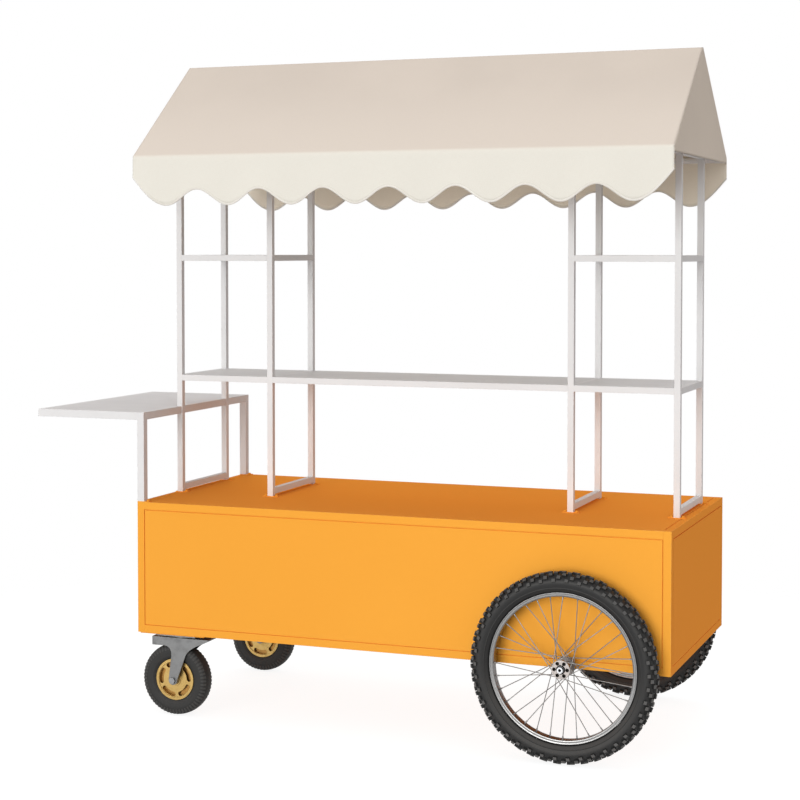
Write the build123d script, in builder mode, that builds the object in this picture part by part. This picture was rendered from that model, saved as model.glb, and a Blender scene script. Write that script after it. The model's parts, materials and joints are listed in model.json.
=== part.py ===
import os
from math import atan2, cos, pi, radians, sin, tan

from build123d import *

os.makedirs("parts", exist_ok=True)

# Display trolley, in millimetres. +Z is up, the front faces -Y, the side table is at -X.
# The origin is on the floor, under the middle of the overall length and width.

# Body box of square tube with flush inset panels
body_length = 1800.0
body_width = 800.0
body_height = 436.0
frame_tube = 25.0
frame_wall = 1.5
tube_corner = 0.8
panel_sheet = 1.2
reveal_width = 2.5
reveal_depth = 4.0
floor_sheet = 1.5
floor_gap = 3.0

# Casters under the left end
caster_wheel_diameter = 240.0
caster_tyre_width = 56.0
caster_tread_width = 50.0
caster_tread_drop = 8.0
caster_barrel_diameter = 132.0
caster_rim_lip = 3.0
caster_rim_wall = 6.0
caster_rim_width = 44.0
caster_disc_setback = 3.0
caster_disc_sheet = 3.0
caster_slot_count = 5
caster_slot_circle = 102.0
caster_slot_sweep = 43.0
caster_slot_width = 15.0
caster_web = 16.0
caster_slot_turn = 25.0
caster_bush_diameter = 32.0
caster_hub_wall = 6.0
caster_axle_diameter = 12.0
caster_axle_head_width = 19.0
caster_axle_head_height = 7.5
caster_swivel_inset = 138.0
caster_side_inset = 62.0
caster_trail = 23.0
fork_sheet = 5.0
fork_side_gap = 4.0
fork_crown_gap = 19.0
fork_crown_length = 208.0
fork_crown_shift = 5.0
fork_lip_height = 29.0
fork_tip_height = 5.0
fork_tip_length = 24.0
fork_tip_fall = 11.0
fork_leg_width = 31.0
fork_leg_lean = 11.0
fork_leg_flare = 21.0
fork_shoulder_drop = 60.0
fork_bend_reach = 9.0
fork_bend_drop = 36.0
kingpin_diameter = 14.0
kingpin_head_diameter = 26.0
kingpin_head_height = 7.0
race_diameter = 70.0
race_height = 8.0
race_bore = 28.0
caster_plate_length = 140.0
caster_plate_width = 110.0
caster_plate_thickness = 4.0
caster_bolt_diameter = 8.0
caster_bolt_head_width = 13.0
caster_bolt_head_height = 5.3
caster_bolt_tail = 9.5
caster_bolt_spacing_x = 105.0
caster_bolt_spacing_y = 56.0
mount_plate_thickness = 4.0
mount_plate_reach = 235.0
mount_plate_inset = 6.0

# Spoked wheels at the right end
wheel_setback = 318.0
wheel_gap = 48.0
tyre_section = 62.0
tyre_width = 64.0
tyre_wall = 5.0
tyre_shoulder_width = 42.0
tyre_shoulder_drop = 7.5
rim_width = 32.0
rim_depth = 13.0
rim_wall = 2.8
spoke_count = 32
spoke_crossings = 3
spoke_diameter = 2.8
spoke_circle = 52.6
spoke_stagger = 1.7
spoke_rim_offset = 4.0
spoke_seat = 1.2
nipple_diameter = 4.6
nipple_length = 11.0
hub_flange_diameter = 58.0
hub_barrel_diameter = 42.0
hub_outer_reach = 31.0
hub_inner_reach = 30.0
hub_outer_flange = 9.0
hub_inner_flange = 4.0
hub_boss_length = 4.0
hub_hole_count = 6
hub_hole_diameter = 11.0
hub_hole_wall = 1.0
hub_hole_depth = 7.5
bearing_diameter = 28.0
bearing_width = 7.0
bearing_recess_outer = 2.0
bearing_recess_inner = 1.0
axle_diameter = 15.0
spacer_diameter = 22.0
end_bolt_diameter = 18.5
end_bolt_head = 12.0
end_bolt_shank = 8.0
end_bolt_reach = 20.0
end_bolt_socket = 9.0
socket_depth = 7.0

# Shelf towers on the deck
post_tube = 20.0
post_wall = 1.2
tower_width = 363.0
tower_depth = 360.0
tower_setback = 268.0
tower_left_inset = 8.0
tower_right_inset = 33.0
middle_shelf_top = 407.0
upper_shelf_top = 820.0
shelf_sheet = 2.0
foot_rail_lift = 8.0
foot_plate_sheet = 2.0
foot_plate_reach = 18.0
foot_bolt_offset = 9.0
foot_bolt_diameter = 10.0
foot_bolt_height = 5.0

# Side table at the left end
table_reach = 380.0
table_top_height = 298.0

# Canopy
canopy_overhang = 12.0
canopy_end_overhang = 4.0
canopy_cloth = 2.0
canopy_tube = 20.0
canopy_tube_wall = 1.5
eave_height = 1139.0
tie_lift = 6.0
ridge_height = 1475.0
valance_end = 62.0
valance_crest = 103.0
valance_lobe = 155.0
scallop_count = 8
scallop_pitch = 223.0

# Fits: how far faces that only rest, run or slide stay apart
seat_gap = 0.3
running_gap = 0.05
bolt_gap = 0.5

# Heights
ride_height = (
    caster_wheel_diameter + fork_crown_gap + fork_sheet + race_height
    + caster_plate_thickness + mount_plate_thickness
)
deck_z = ride_height + body_height
axle_z = ride_height + frame_tube / 2
wheel_radius = axle_z
caster_axle_z = caster_wheel_diameter / 2
crown_top_z = ride_height - mount_plate_thickness - caster_plate_thickness - race_height

# Places along X and Y
body_left = (table_reach - body_length - canopy_end_overhang) / 2
body_right = body_left + body_length
body_middle = (body_left + body_right) / 2
front_face = -body_width / 2
rear_face = body_width / 2
axle_x = body_right - wheel_setback
swivel_x = body_left + caster_swivel_inset
caster_axle_x = swivel_x - caster_trail
sides = {"front": -1, "rear": 1}


def keep(piece, name):
    piece.part.label = name
    export_step(piece.part, f"parts/{name}.step")


def square_tube(section, length, size, wall, closed=False):
    # A hollow tube that runs from the origin along the section's normal; closed shuts its far end
    with BuildPart() as tube:
        with BuildSketch(section):
            RectangleRounded(size, size, tube_corner)
        extrude(amount=length)
        with BuildSketch(section):
            Rectangle(size - 2 * wall, size - 2 * wall)
        extrude(amount=length - wall if closed else length, mode=Mode.SUBTRACT)
    return tube.part


def round_tube(section, length, diameter, wall):
    with BuildPart() as tube:
        with BuildSketch(section):
            Circle(diameter / 2)
            Circle(diameter / 2 - wall, mode=Mode.SUBTRACT)
        extrude(amount=length)
    return tube.part


def inset_panel(face, width, height):
    # A pressed sheet that is flush with the tubes around it, behind a shadow gap, on a stepped-back lip
    with BuildPart() as panel:
        with BuildSketch(face):
            Rectangle(width - 2 * reveal_width, height - 2 * reveal_width)
        extrude(amount=-reveal_depth)
        with BuildSketch(face.offset(-reveal_depth)):
            Rectangle(width, height)
        extrude(amount=-panel_sheet)
        with BuildSketch(face.offset(-panel_sheet)):
            fold = 2 * (reveal_width + panel_sheet)
            Rectangle(width - fold, height - fold)
        extrude(amount=-reveal_depth, mode=Mode.SUBTRACT)
    return panel


# Body frame: long rails and cross rails between four corner posts
opening_length = body_length - 2 * frame_tube
opening_width = body_width - 2 * frame_tube
opening_height = body_height - 2 * frame_tube
rail_heights = (ride_height + frame_tube / 2, deck_z - frame_tube / 2)
rail_rows = (front_face + frame_tube / 2, rear_face - frame_tube / 2)
rail_columns = (body_left + frame_tube / 2, body_right - frame_tube / 2)

long_tube = square_tube(Plane.YZ, opening_length, frame_tube, frame_wall)
with BuildPart() as long_rails:
    with Locations(*[(body_left + frame_tube, y, z) for y in rail_rows for z in rail_heights]):
        add(long_tube)
    with Locations((axle_x, 0, axle_z)):
        Cylinder(axle_diameter / 2 + running_gap, body_width, rotation=(90, 0, 0), mode=Mode.SUBTRACT)
keep(long_rails, "long_rails")

cross_tube = square_tube(Plane.ZX, opening_width, frame_tube, frame_wall)
with BuildPart() as cross_rails:
    with Locations(*[(x, front_face + frame_tube, z) for x in rail_columns for z in rail_heights]):
        add(cross_tube)
keep(cross_rails, "cross_rails")

corner_tube = square_tube(Plane.XY, body_height, frame_tube, frame_wall, closed=True)
with BuildPart() as corner_posts:
    with Locations(*[(x, y, ride_height) for x in rail_columns for y in rail_rows]):
        add(corner_tube)
keep(corner_posts, "corner_posts")

# Panels: four sides and the deck, flush with the frame, and a floor sheet on the lower rails
middle_z = (ride_height + deck_z) / 2
front_plane = Plane((body_middle, front_face, middle_z), x_dir=(1, 0, 0), z_dir=(0, -1, 0))
rear_plane = Plane((body_middle, rear_face, middle_z), x_dir=(1, 0, 0), z_dir=(0, 1, 0))
left_plane = Plane((body_left, 0, middle_z), x_dir=(0, 1, 0), z_dir=(-1, 0, 0))
right_plane = Plane((body_right, 0, middle_z), x_dir=(0, 1, 0), z_dir=(1, 0, 0))
deck_plane = Plane((body_middle, 0, deck_z))
keep(inset_panel(front_plane, opening_length, opening_height), "front_panel")
keep(inset_panel(rear_plane, opening_length, opening_height), "rear_panel")
keep(inset_panel(left_plane, opening_width, opening_height), "left_end_panel")
keep(inset_panel(right_plane, opening_width, opening_height), "right_end_panel")
keep(inset_panel(deck_plane, opening_length, opening_width), "deck_panel")

floor_inset = reveal_depth + panel_sheet + floor_gap
with BuildPart() as floor_panel:
    with BuildSketch(Plane.XY.offset(ride_height + frame_tube)):
        with Locations((body_middle, 0)):
            Rectangle(body_length - 2 * floor_inset, body_width - 2 * floor_inset)
        with Locations(*[(x, y) for x in rail_columns for y in rail_rows]):
            Rectangle(frame_tube + 2 * seat_gap, frame_tube + 2 * seat_gap, mode=Mode.SUBTRACT)
    extrude(amount=floor_sheet)
keep(floor_panel, "floor_panel")

# Shelf towers: post lines along X, post rows along Y
left_tower_x = body_left + tower_left_inset + post_tube / 2
right_tower_x = body_right - tower_right_inset - post_tube / 2
post_span = tower_width - post_tube
post_lines = (left_tower_x, left_tower_x + post_span, right_tower_x - post_span, right_tower_x)
front_row = front_face + tower_setback + post_tube / 2
rear_row = front_row + tower_depth - post_tube
post_rows = (front_row, rear_row)
post_foot_z = deck_z + foot_plate_sheet
eave_z = deck_z + eave_height
tie_z = eave_z + tie_lift
tie_underside = tie_z - post_tube / 2

# Stiffeners under the deck sheet, below the two inner post lines
stiffener_length = opening_width - 2 * (reveal_width + panel_sheet)
stiffener_z = deck_z - panel_sheet - frame_tube / 2
stiffener_tube = square_tube(Plane.ZX, stiffener_length, frame_tube, frame_wall)
with BuildPart() as deck_stiffeners:
    with Locations(*[(x, -stiffener_length / 2, stiffener_z) for x in post_lines[1:3]]):
        add(stiffener_tube)
keep(deck_stiffeners, "deck_stiffeners")

post_run = square_tube(Plane.XY, tie_underside - post_foot_z, post_tube, post_wall)
for tower_name, tower_lines in {"left": post_lines[:2], "right": post_lines[2:]}.items():
    with BuildPart() as tower_posts:
        with Locations(*[(x, y, post_foot_z) for x in tower_lines for y in post_rows]):
            add(post_run)
    keep(tower_posts, f"{tower_name}_tower_posts")

# Rails between the posts: low foot rails, and the edges of the middle and upper shelves
side_run = square_tube(Plane.ZX, tower_depth - 2 * post_tube, post_tube, post_wall)
bay_spans = [(post_lines[0], post_lines[1]), (post_lines[1], post_lines[2]), (post_lines[2], post_lines[3])]
tower_spans = [bay_spans[0], bay_spans[2]]
middle_rail_z = deck_z + middle_shelf_top - post_tube / 2
upper_rail_z = deck_z + upper_shelf_top - post_tube / 2
foot_rail_z = deck_z + foot_rail_lift + post_tube / 2
side_start = front_row + post_tube / 2

with BuildPart() as foot_rails:
    with Locations(*[(x, side_start, foot_rail_z) for x in post_lines]):
        add(side_run)
keep(foot_rails, "foot_rails")

with BuildPart() as side_shelf_rails:
    with Locations(*[(x, side_start, z) for x in post_lines for z in (middle_rail_z, upper_rail_z)]):
        add(side_run)
keep(side_shelf_rails, "side_shelf_rails")

tower_run = square_tube(Plane.YZ, post_span - post_tube, post_tube, post_wall)
centre_run = square_tube(Plane.YZ, post_lines[2] - post_lines[1] - post_tube, post_tube, post_wall)
for row_name, row_y in {"front": front_row, "rear": rear_row}.items():
    with BuildPart() as row_rails:
        with Locations(*[(start + post_tube / 2, row_y, z) for start, end in tower_spans
                         for z in (middle_rail_z, upper_rail_z)]):
            add(tower_run)
        with Locations((post_lines[1] + post_tube / 2, row_y, middle_rail_z)):
            add(centre_run)
    keep(row_rails, f"{row_name}_shelf_rails")


# Shelf sheets, flush with the tops of the rails around them
def shelf(spans, top):
    with BuildPart() as sheet:
        with BuildSketch(Plane.XY.offset(top - shelf_sheet)):
            for start, end in spans:
                with Locations(((start + end) / 2, (front_row + rear_row) / 2)):
                    Rectangle(end - start - post_tube, tower_depth - 2 * post_tube)
        extrude(amount=shelf_sheet)
    return sheet


keep(shelf(bay_spans, deck_z + middle_shelf_top), "middle_shelf")
keep(shelf(tower_spans[:1], deck_z + upper_shelf_top), "left_upper_shelf")
keep(shelf(tower_spans[1:], deck_z + upper_shelf_top), "right_upper_shelf")

# Side table: a cantilevered frame on two legs at the left corners of the deck
leg_x = body_left + frame_tube / 2
table_top_z = deck_z + table_top_height
table_rail_z = table_top_z - frame_tube / 2
table_left = body_left - table_reach

leg_tube = square_tube(Plane.XY, table_top_z - post_foot_z, frame_tube, frame_wall, closed=True)
with BuildPart() as table_legs:
    with Locations(*[(leg_x, y, post_foot_z) for y in rail_rows]):
        add(leg_tube)
keep(table_legs, "table_legs")

arm_tube = square_tube(-Plane.YZ, table_reach, frame_tube, frame_wall, closed=True)
with BuildPart() as table_long_rails:
    with Locations(*[(body_left, y, table_rail_z) for y in rail_rows]):
        add(arm_tube)
keep(table_long_rails, "table_long_rails")

# The rail over the deck is broken where the left tower's posts pass through its line
leg_inner = body_width / 2 - frame_tube
front_post = front_row - post_tube / 2
rear_post = rear_row + post_tube / 2
front_stub = square_tube(Plane.ZX, front_post + leg_inner, frame_tube, frame_wall)
middle_stub = square_tube(Plane.ZX, tower_depth - 2 * post_tube, frame_tube, frame_wall)
rear_stub = square_tube(Plane.ZX, leg_inner - rear_post, frame_tube, frame_wall)
with BuildPart() as table_cross_rails:
    with Locations((table_left + frame_tube / 2, -leg_inner, table_rail_z)):
        add(cross_tube)
    with Locations((leg_x, -leg_inner, table_rail_z)):
        add(front_stub)
    with Locations((leg_x, front_post + post_tube, table_rail_z)):
        add(middle_stub)
    with Locations((leg_x, rear_post, table_rail_z)):
        add(rear_stub)
keep(table_cross_rails, "table_cross_rails")

with BuildPart() as table_top:
    with BuildSketch(Plane.XY.offset(table_top_z - shelf_sheet)):
        with Locations(((table_left + frame_tube + body_left) / 2, 0)):
            Rectangle(table_reach - frame_tube, opening_width)
    extrude(amount=shelf_sheet)
keep(table_top, "table_top")

# Foot plates and their bolts, on the sides of each post and leg where the deck has room
feet = [(x, y, post_tube) for x in post_lines for y in post_rows]
feet += [(leg_x, y, frame_tube) for y in rail_rows]
plate_spans = []
bolt_spots = []
for foot_x, foot_y, foot_size in feet:
    low_x = max(body_left, foot_x - foot_size / 2 - foot_plate_reach)
    high_x = foot_x + foot_size / 2 + foot_plate_reach
    plate_spans.append((low_x, high_x, foot_y, foot_size))
    bolt_offset = foot_size / 2 + foot_bolt_offset
    bolt_spots += [(x, foot_y) for x in (foot_x - bolt_offset, foot_x + bolt_offset)
                   if x - foot_bolt_diameter / 2 > body_left]

with BuildPart() as foot_plates:
    with BuildSketch(Plane.XY.offset(deck_z)):
        for low_x, high_x, foot_y, foot_size in plate_spans:
            with Locations(((low_x + high_x) / 2, foot_y)):
                Rectangle(high_x - low_x, foot_size)
    extrude(amount=foot_plate_sheet)
keep(foot_plates, "foot_plates")

with BuildPart() as foot_bolts:
    with BuildSketch(Plane.XY.offset(post_foot_z)):
        with Locations(*bolt_spots):
            Circle(foot_bolt_diameter / 2)
    extrude(amount=foot_bolt_height)
    crown_edges = foot_bolts.edges().filter_by(GeomType.CIRCLE).group_by(Axis.Z)[-1]
    fillet(crown_edges, radius=foot_bolt_height / 2)
keep(foot_bolts, "foot_bolts")

# Canopy frame: ridge and eave tubes on four cross ties, with rafters over the outer ties
tube_radius = canopy_tube / 2
cloth_inner = tube_radius + seat_gap
cloth_outer = cloth_inner + canopy_cloth
eave_y = body_width / 2 + canopy_overhang - cloth_outer
ridge_z = deck_z + ridge_height - cloth_outer
roof_angle = atan2(ridge_z - eave_z, eave_y)
canopy_left = body_left - canopy_end_overhang
canopy_length = body_length + 2 * canopy_end_overhang
pole_start = canopy_left + canopy_cloth + seat_gap
pole_run = round_tube(Plane.YZ, canopy_length - 2 * (canopy_cloth + seat_gap), canopy_tube, canopy_tube_wall)

with BuildPart() as ridge_tube:
    with Locations((pole_start, 0, ridge_z)):
        add(pole_run)
keep(ridge_tube, "ridge_tube")

with BuildPart() as eave_tubes:
    with Locations((pole_start, -eave_y, eave_z), (pole_start, eave_y, eave_z)):
        add(pole_run)
keep(eave_tubes, "eave_tubes")

# The upper edge of each tie's end meets the slope that touches the tubes, so it stays under the cloth
tie_reach = eave_y - (tie_lift + post_tube / 2 - tube_radius / cos(roof_angle)) / tan(roof_angle)
tie_run = square_tube(Plane.ZX, 2 * tie_reach, post_tube, post_wall)
with BuildPart() as canopy_ties:
    with Locations(*[(x, -tie_reach, tie_z) for x in post_lines]):
        add(tie_run)
    with Locations((body_middle, -eave_y, eave_z), (body_middle, eave_y, eave_z)):
        Cylinder(tube_radius, canopy_length, rotation=(0, 90, 0), mode=Mode.SUBTRACT)
keep(canopy_ties, "canopy_ties")

# Each rafter lies along the slope, level with the tubes, cut to sit on its tie and against the ridge
with BuildPart() as rafters:
    for x in (post_lines[0], post_lines[3]):
        for side in sides.values():
            slope = Plane((x, side * eave_y, eave_z), x_dir=(1, 0, 0),
                          z_dir=(0, -side * cos(roof_angle), sin(roof_angle)))
            with BuildSketch(slope):
                Rectangle(post_tube, canopy_tube)
                Rectangle(post_tube - 2 * post_wall, canopy_tube - 2 * post_wall, mode=Mode.SUBTRACT)
            extrude(amount=eave_y / cos(roof_angle))
    with Locations((body_middle, 0, tie_z - body_width / 2 + post_tube / 2)):
        Box(canopy_length, 2 * body_width, body_width, mode=Mode.SUBTRACT)
    with Locations((body_middle, 0, ridge_z)):
        Box(canopy_length, canopy_tube, body_width, mode=Mode.SUBTRACT)
keep(rafters, "rafters")


# Roof outline across the trolley: two slopes round the ridge and eave tubes, down to a level edge
def roof_point(side, centre_y, centre_z, radius, angle):
    return (side * (centre_y + radius * cos(angle)), centre_z + radius * sin(angle))


def roof_face(radius, bottom_z):
    normal = pi / 2 - roof_angle
    with BuildLine() as outline:
        hems = []
        slope_heads = []
        for side in sides.values():
            hem = (side * (eave_y + radius), bottom_z)
            bend = roof_point(side, eave_y, eave_z, radius, 0)
            crown = roof_point(side, eave_y, eave_z, radius, normal / 2)
            slope_foot = roof_point(side, eave_y, eave_z, radius, normal)
            slope_head = roof_point(side, 0, ridge_z, radius, normal)
            Line(hem, bend)
            ThreePointArc(bend, crown, slope_foot)
            Line(slope_foot, slope_head)
            hems.append(hem)
            slope_heads.append(slope_head)
        ThreePointArc(slope_heads[0], (0, ridge_z + radius), slope_heads[1])
        Line(hems[0], hems[1])
    return make_face(outline.edges(), mode=Mode.PRIVATE)


# Canopy cover: one sheet over the ridge with a scalloped valance along the front and the back
valance_low = eave_z - valance_lobe
outer_face = roof_face(cloth_outer, valance_low)
inner_face = roof_face(cloth_inner, valance_low)
first_lobe = body_middle - (scallop_count - 1) * scallop_pitch / 2
scallop_points = [(canopy_left, eave_z - valance_end)]
for lobe in range(scallop_count):
    lobe_x = first_lobe + lobe * scallop_pitch
    scallop_points.append((lobe_x, valance_low))
    if lobe < scallop_count - 1:
        scallop_points.append((lobe_x + scallop_pitch / 2, eave_z - valance_crest))
scallop_points.append((canopy_left + canopy_length, eave_z - valance_end))
scallop_tangents = [(1, -1)] + [(1, 0)] * (2 * scallop_count - 1) + [(1, 1)]

with BuildPart() as canopy_cover:
    with BuildSketch(Plane.YZ.offset(canopy_left)):
        add(outer_face)
        add(inner_face, mode=Mode.SUBTRACT)
    extrude(amount=canopy_length)
    with BuildSketch(Plane.XZ):
        with BuildLine():
            Spline(*scallop_points, tangents=scallop_tangents)
            Polyline(
                scallop_points[-1],
                (canopy_left + canopy_length, valance_low - canopy_tube),
                (canopy_left, valance_low - canopy_tube),
                scallop_points[0],
            )
        make_face()
    extrude(amount=body_width, both=True, mode=Mode.SUBTRACT)
keep(canopy_cover, "canopy_cover")

# Gables: closed triangles of the same cloth at both ends, hemmed just below the ties
gable_face = roof_face(cloth_inner - seat_gap, eave_z - post_tube / 2)
for gable_name, gable_x in {"left": canopy_left, "right": canopy_left + canopy_length - canopy_cloth}.items():
    with BuildPart() as gable:
        with BuildSketch(Plane.YZ.offset(gable_x)):
            add(gable_face)
        extrude(amount=canopy_cloth)
    keep(gable, f"{gable_name}_gable")

# Wheel axle: one rod through a cross beam and both lower rails, with spacers and end bolts
outer_bearing_face = hub_outer_reach - bearing_recess_outer
inner_bearing_face = hub_inner_reach - bearing_recess_inner
wheel_plane_y = body_width / 2 + wheel_gap
axle_end_y = wheel_plane_y + outer_bearing_face + seat_gap

with BuildPart() as axle_beam:
    with Locations((axle_x, front_face + frame_tube, axle_z)):
        add(cross_tube)
keep(axle_beam, "axle_beam")

with BuildPart() as wheel_axle:
    with Locations((axle_x, 0, axle_z)):
        Cylinder(axle_diameter / 2, 2 * axle_end_y, rotation=(90, 0, 0))
    for side in sides.values():
        with Locations((axle_x, side * (axle_end_y - end_bolt_reach / 2), axle_z)):
            Cylinder(end_bolt_shank / 2 + running_gap, end_bolt_reach, rotation=(90, 0, 0),
                     mode=Mode.SUBTRACT)
keep(wheel_axle, "wheel_axle")


def axle_plane(side, distance):
    # A plane square to the axle that faces outboard, at a distance from the trolley's middle
    return Plane((axle_x, side * distance, axle_z), x_dir=(1, 0, 0), z_dir=(0, side, 0))


spacer_length = wheel_gap - inner_bearing_face - seat_gap
with BuildPart() as axle_spacers:
    for side in sides.values():
        with BuildSketch(axle_plane(side, body_width / 2)):
            Circle(spacer_diameter / 2)
            Circle(axle_diameter / 2 + running_gap, mode=Mode.SUBTRACT)
        extrude(amount=spacer_length)
keep(axle_spacers, "axle_spacers")

with BuildPart() as axle_end_bolts:
    for side in sides.values():
        with BuildSketch(axle_plane(side, axle_end_y)):
            Circle(end_bolt_diameter / 2)
        extrude(amount=end_bolt_head)
        with BuildSketch(axle_plane(side, axle_end_y)):
            Circle(end_bolt_shank / 2)
        extrude(amount=-(end_bolt_reach - seat_gap))
        with BuildSketch(axle_plane(side, axle_end_y + end_bolt_head)):
            RegularPolygon(end_bolt_socket / 2, 6, major_radius=False)
        extrude(amount=-socket_depth, mode=Mode.SUBTRACT)
keep(axle_end_bolts, "axle_end_bolts")

# Spoked wheel, in a section plane whose x is the radius and whose y points outboard
rim_edge_radius = wheel_radius - tyre_section
rim_bed_radius = rim_edge_radius - rim_depth
bead_half = rim_width / 2 - rim_wall - seat_gap


def wheel_section(side):
    return Plane((axle_x, side * wheel_plane_y, axle_z), x_dir=(0, 0, 1), z_dir=(-side, 0, 0))


def wheel_axis(side):
    return Axis((axle_x, side * wheel_plane_y, axle_z), (0, 1, 0))


for wheel_name, side in sides.items():
    section = wheel_section(side)
    spin = wheel_axis(side)

    bead_radius = rim_bed_radius + rim_wall + seat_gap
    neck_radius = rim_edge_radius + seat_gap
    belly_radius = wheel_radius - tyre_section / 2
    shoulder_radius = wheel_radius - tyre_shoulder_drop
    with BuildPart() as tyre:
        with BuildSketch(section):
            with BuildLine():
                Line((bead_radius, -bead_half), (neck_radius, -bead_half))
                ThreePointArc((neck_radius, -bead_half), (belly_radius, -tyre_width / 2),
                              (shoulder_radius, -tyre_shoulder_width / 2))
                ThreePointArc((shoulder_radius, -tyre_shoulder_width / 2), (wheel_radius, 0),
                              (shoulder_radius, tyre_shoulder_width / 2))
                ThreePointArc((shoulder_radius, tyre_shoulder_width / 2), (belly_radius, tyre_width / 2),
                              (neck_radius, bead_half))
                Line((neck_radius, bead_half), (bead_radius, bead_half))
                Line((bead_radius, bead_half), (bead_radius, -bead_half))
            make_face()
            with BuildLine():
                inner_half = bead_half - tyre_wall
                inner_belly = tyre_width / 2 - tyre_wall
                inner_shoulder = shoulder_radius - tyre_wall
                inner_shoulder_half = tyre_shoulder_width / 2 - tyre_wall / 2
                Line((bead_radius, -inner_half), (neck_radius, -inner_half))
                ThreePointArc((neck_radius, -inner_half), (belly_radius, -inner_belly),
                              (inner_shoulder, -inner_shoulder_half))
                ThreePointArc((inner_shoulder, -inner_shoulder_half), (wheel_radius - tyre_wall, 0),
                              (inner_shoulder, inner_shoulder_half))
                ThreePointArc((inner_shoulder, inner_shoulder_half), (belly_radius, inner_belly),
                              (neck_radius, inner_half))
                Line((neck_radius, inner_half), (bead_radius, inner_half))
                Line((bead_radius, inner_half), (bead_radius, -inner_half))
            make_face(mode=Mode.SUBTRACT)
        revolve(axis=spin)
    keep(tyre, f"{wheel_name}_tyre")

    with BuildPart() as rim:
        with BuildSketch(section):
            with BuildLine():
                bed_half = rim_width / 2 - rim_wall
                Polyline(
                    (rim_bed_radius, -rim_width / 2),
                    (rim_bed_radius, rim_width / 2),
                    (rim_edge_radius, rim_width / 2),
                    (rim_edge_radius, bed_half),
                    (rim_bed_radius + rim_wall, bed_half),
                    (rim_bed_radius + rim_wall, -bed_half),
                    (rim_edge_radius, -bed_half),
                    (rim_edge_radius, -rim_width / 2),
                    (rim_bed_radius, -rim_width / 2),
                )
            make_face()
        revolve(axis=spin)
    keep(rim, f"{wheel_name}_rim")

    # Hub: two flanges on a barrel, a bearing seat at each end, blind round holes in the outer face
    flange_radius = hub_flange_diameter / 2
    barrel_radius = hub_barrel_diameter / 2
    seat_radius = bearing_diameter / 2
    bore_radius = (axle_diameter / 2 + seat_radius) / 2
    inner_flange_start = hub_boss_length - hub_inner_reach
    inner_flange_end = inner_flange_start + hub_inner_flange
    outer_flange_start = hub_outer_reach - hub_outer_flange
    inner_seat_end = bearing_width - inner_bearing_face
    outer_seat_start = outer_bearing_face - bearing_width
    with BuildPart() as hub:
        with BuildSketch(section):
            with BuildLine():
                Polyline(
                    (seat_radius, -hub_inner_reach),
                    (barrel_radius, -hub_inner_reach),
                    (barrel_radius, inner_flange_start),
                    (flange_radius, inner_flange_start),
                    (flange_radius, inner_flange_end),
                    (barrel_radius, inner_flange_end),
                    (barrel_radius, outer_flange_start),
                    (flange_radius, outer_flange_start),
                    (flange_radius, hub_outer_reach),
                    (seat_radius, hub_outer_reach),
                    (seat_radius, outer_seat_start),
                    (bore_radius, outer_seat_start),
                    (bore_radius, inner_seat_end),
                    (seat_radius, inner_seat_end),
                    (seat_radius, -hub_inner_reach),
                )
            make_face()
        revolve(axis=spin)
        with BuildSketch(axle_plane(side, wheel_plane_y + hub_outer_reach)):
            with PolarLocations(seat_radius + hub_hole_wall + hub_hole_diameter / 2, hub_hole_count):
                Circle(hub_hole_diameter / 2)
        extrude(amount=-hub_hole_depth, mode=Mode.SUBTRACT)
    keep(hub, f"{wheel_name}_hub")

    with BuildPart() as hub_bearings:
        for bearing_start in (-inner_bearing_face, outer_seat_start):
            with BuildSketch(axle_plane(side, wheel_plane_y + bearing_start)):
                Circle(seat_radius)
                Circle(axle_diameter / 2 + running_gap, mode=Mode.SUBTRACT)
            extrude(amount=bearing_width)
    keep(hub_bearings, f"{wheel_name}_hub_bearings")

    # Spokes: every second rim hole goes to one flange, and neighbours on a flange lean opposite ways
    flange_middles = {0: hub_outer_reach - hub_outer_flange / 2, 1: inner_flange_start + hub_inner_flange / 2}
    hole_angle = 360 / spoke_count
    with BuildPart() as spokes:
        for hole in range(spoke_count):
            flange = hole % 2
            lean = 1 if (hole // 2) % 2 == 0 else -1
            rim_angle = radians(hole * hole_angle)
            hub_angle = rim_angle + lean * radians(2 * spoke_crossings * hole_angle)
            rim_offset = (1 - 2 * flange) * spoke_rim_offset + lean * spoke_stagger
            hub_offset = flange_middles[flange] + lean * spoke_stagger
            rim_end_radius = rim_bed_radius + spoke_seat
            start = Vector(
                axle_x + spoke_circle / 2 * cos(hub_angle),
                side * (wheel_plane_y + hub_offset),
                axle_z + spoke_circle / 2 * sin(hub_angle),
            )
            finish = Vector(
                axle_x + rim_end_radius * cos(rim_angle),
                side * (wheel_plane_y + rim_offset),
                axle_z + rim_end_radius * sin(rim_angle),
            )
            run = finish - start
            with BuildSketch(Plane(start, z_dir=run)):
                Circle(spoke_diameter / 2)
            extrude(amount=run.length)
            with BuildSketch(Plane(finish, z_dir=-run)):
                Circle(nipple_diameter / 2)
            extrude(amount=nipple_length)
    keep(spokes, f"{wheel_name}_spokes")

# Caster mounting: one plate under the left end, then a top plate with a race, a kingpin and four bolts each
caster_rows = {name: side * (body_width / 2 - caster_side_inset) for name, side in sides.items()}
mount_underside = ride_height - mount_plate_thickness
plate_underside = mount_underside - caster_plate_thickness
bolt_holes = [
    (swivel_x + x * caster_bolt_spacing_x / 2, row + y * caster_bolt_spacing_y / 2)
    for row in caster_rows.values()
    for x in (-1, 1)
    for y in (-1, 1)
]

with BuildPart() as caster_mount_plate:
    with BuildSketch(Plane.XY.offset(mount_underside)):
        with Locations((body_left + mount_plate_inset + mount_plate_reach / 2, 0)):
            Rectangle(mount_plate_reach, body_width - 2 * mount_plate_inset)
        with Locations(*bolt_holes):
            Circle(caster_bolt_diameter / 2 + bolt_gap, mode=Mode.SUBTRACT)
    extrude(amount=mount_plate_thickness)
keep(caster_mount_plate, "caster_mount_plate")

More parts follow.
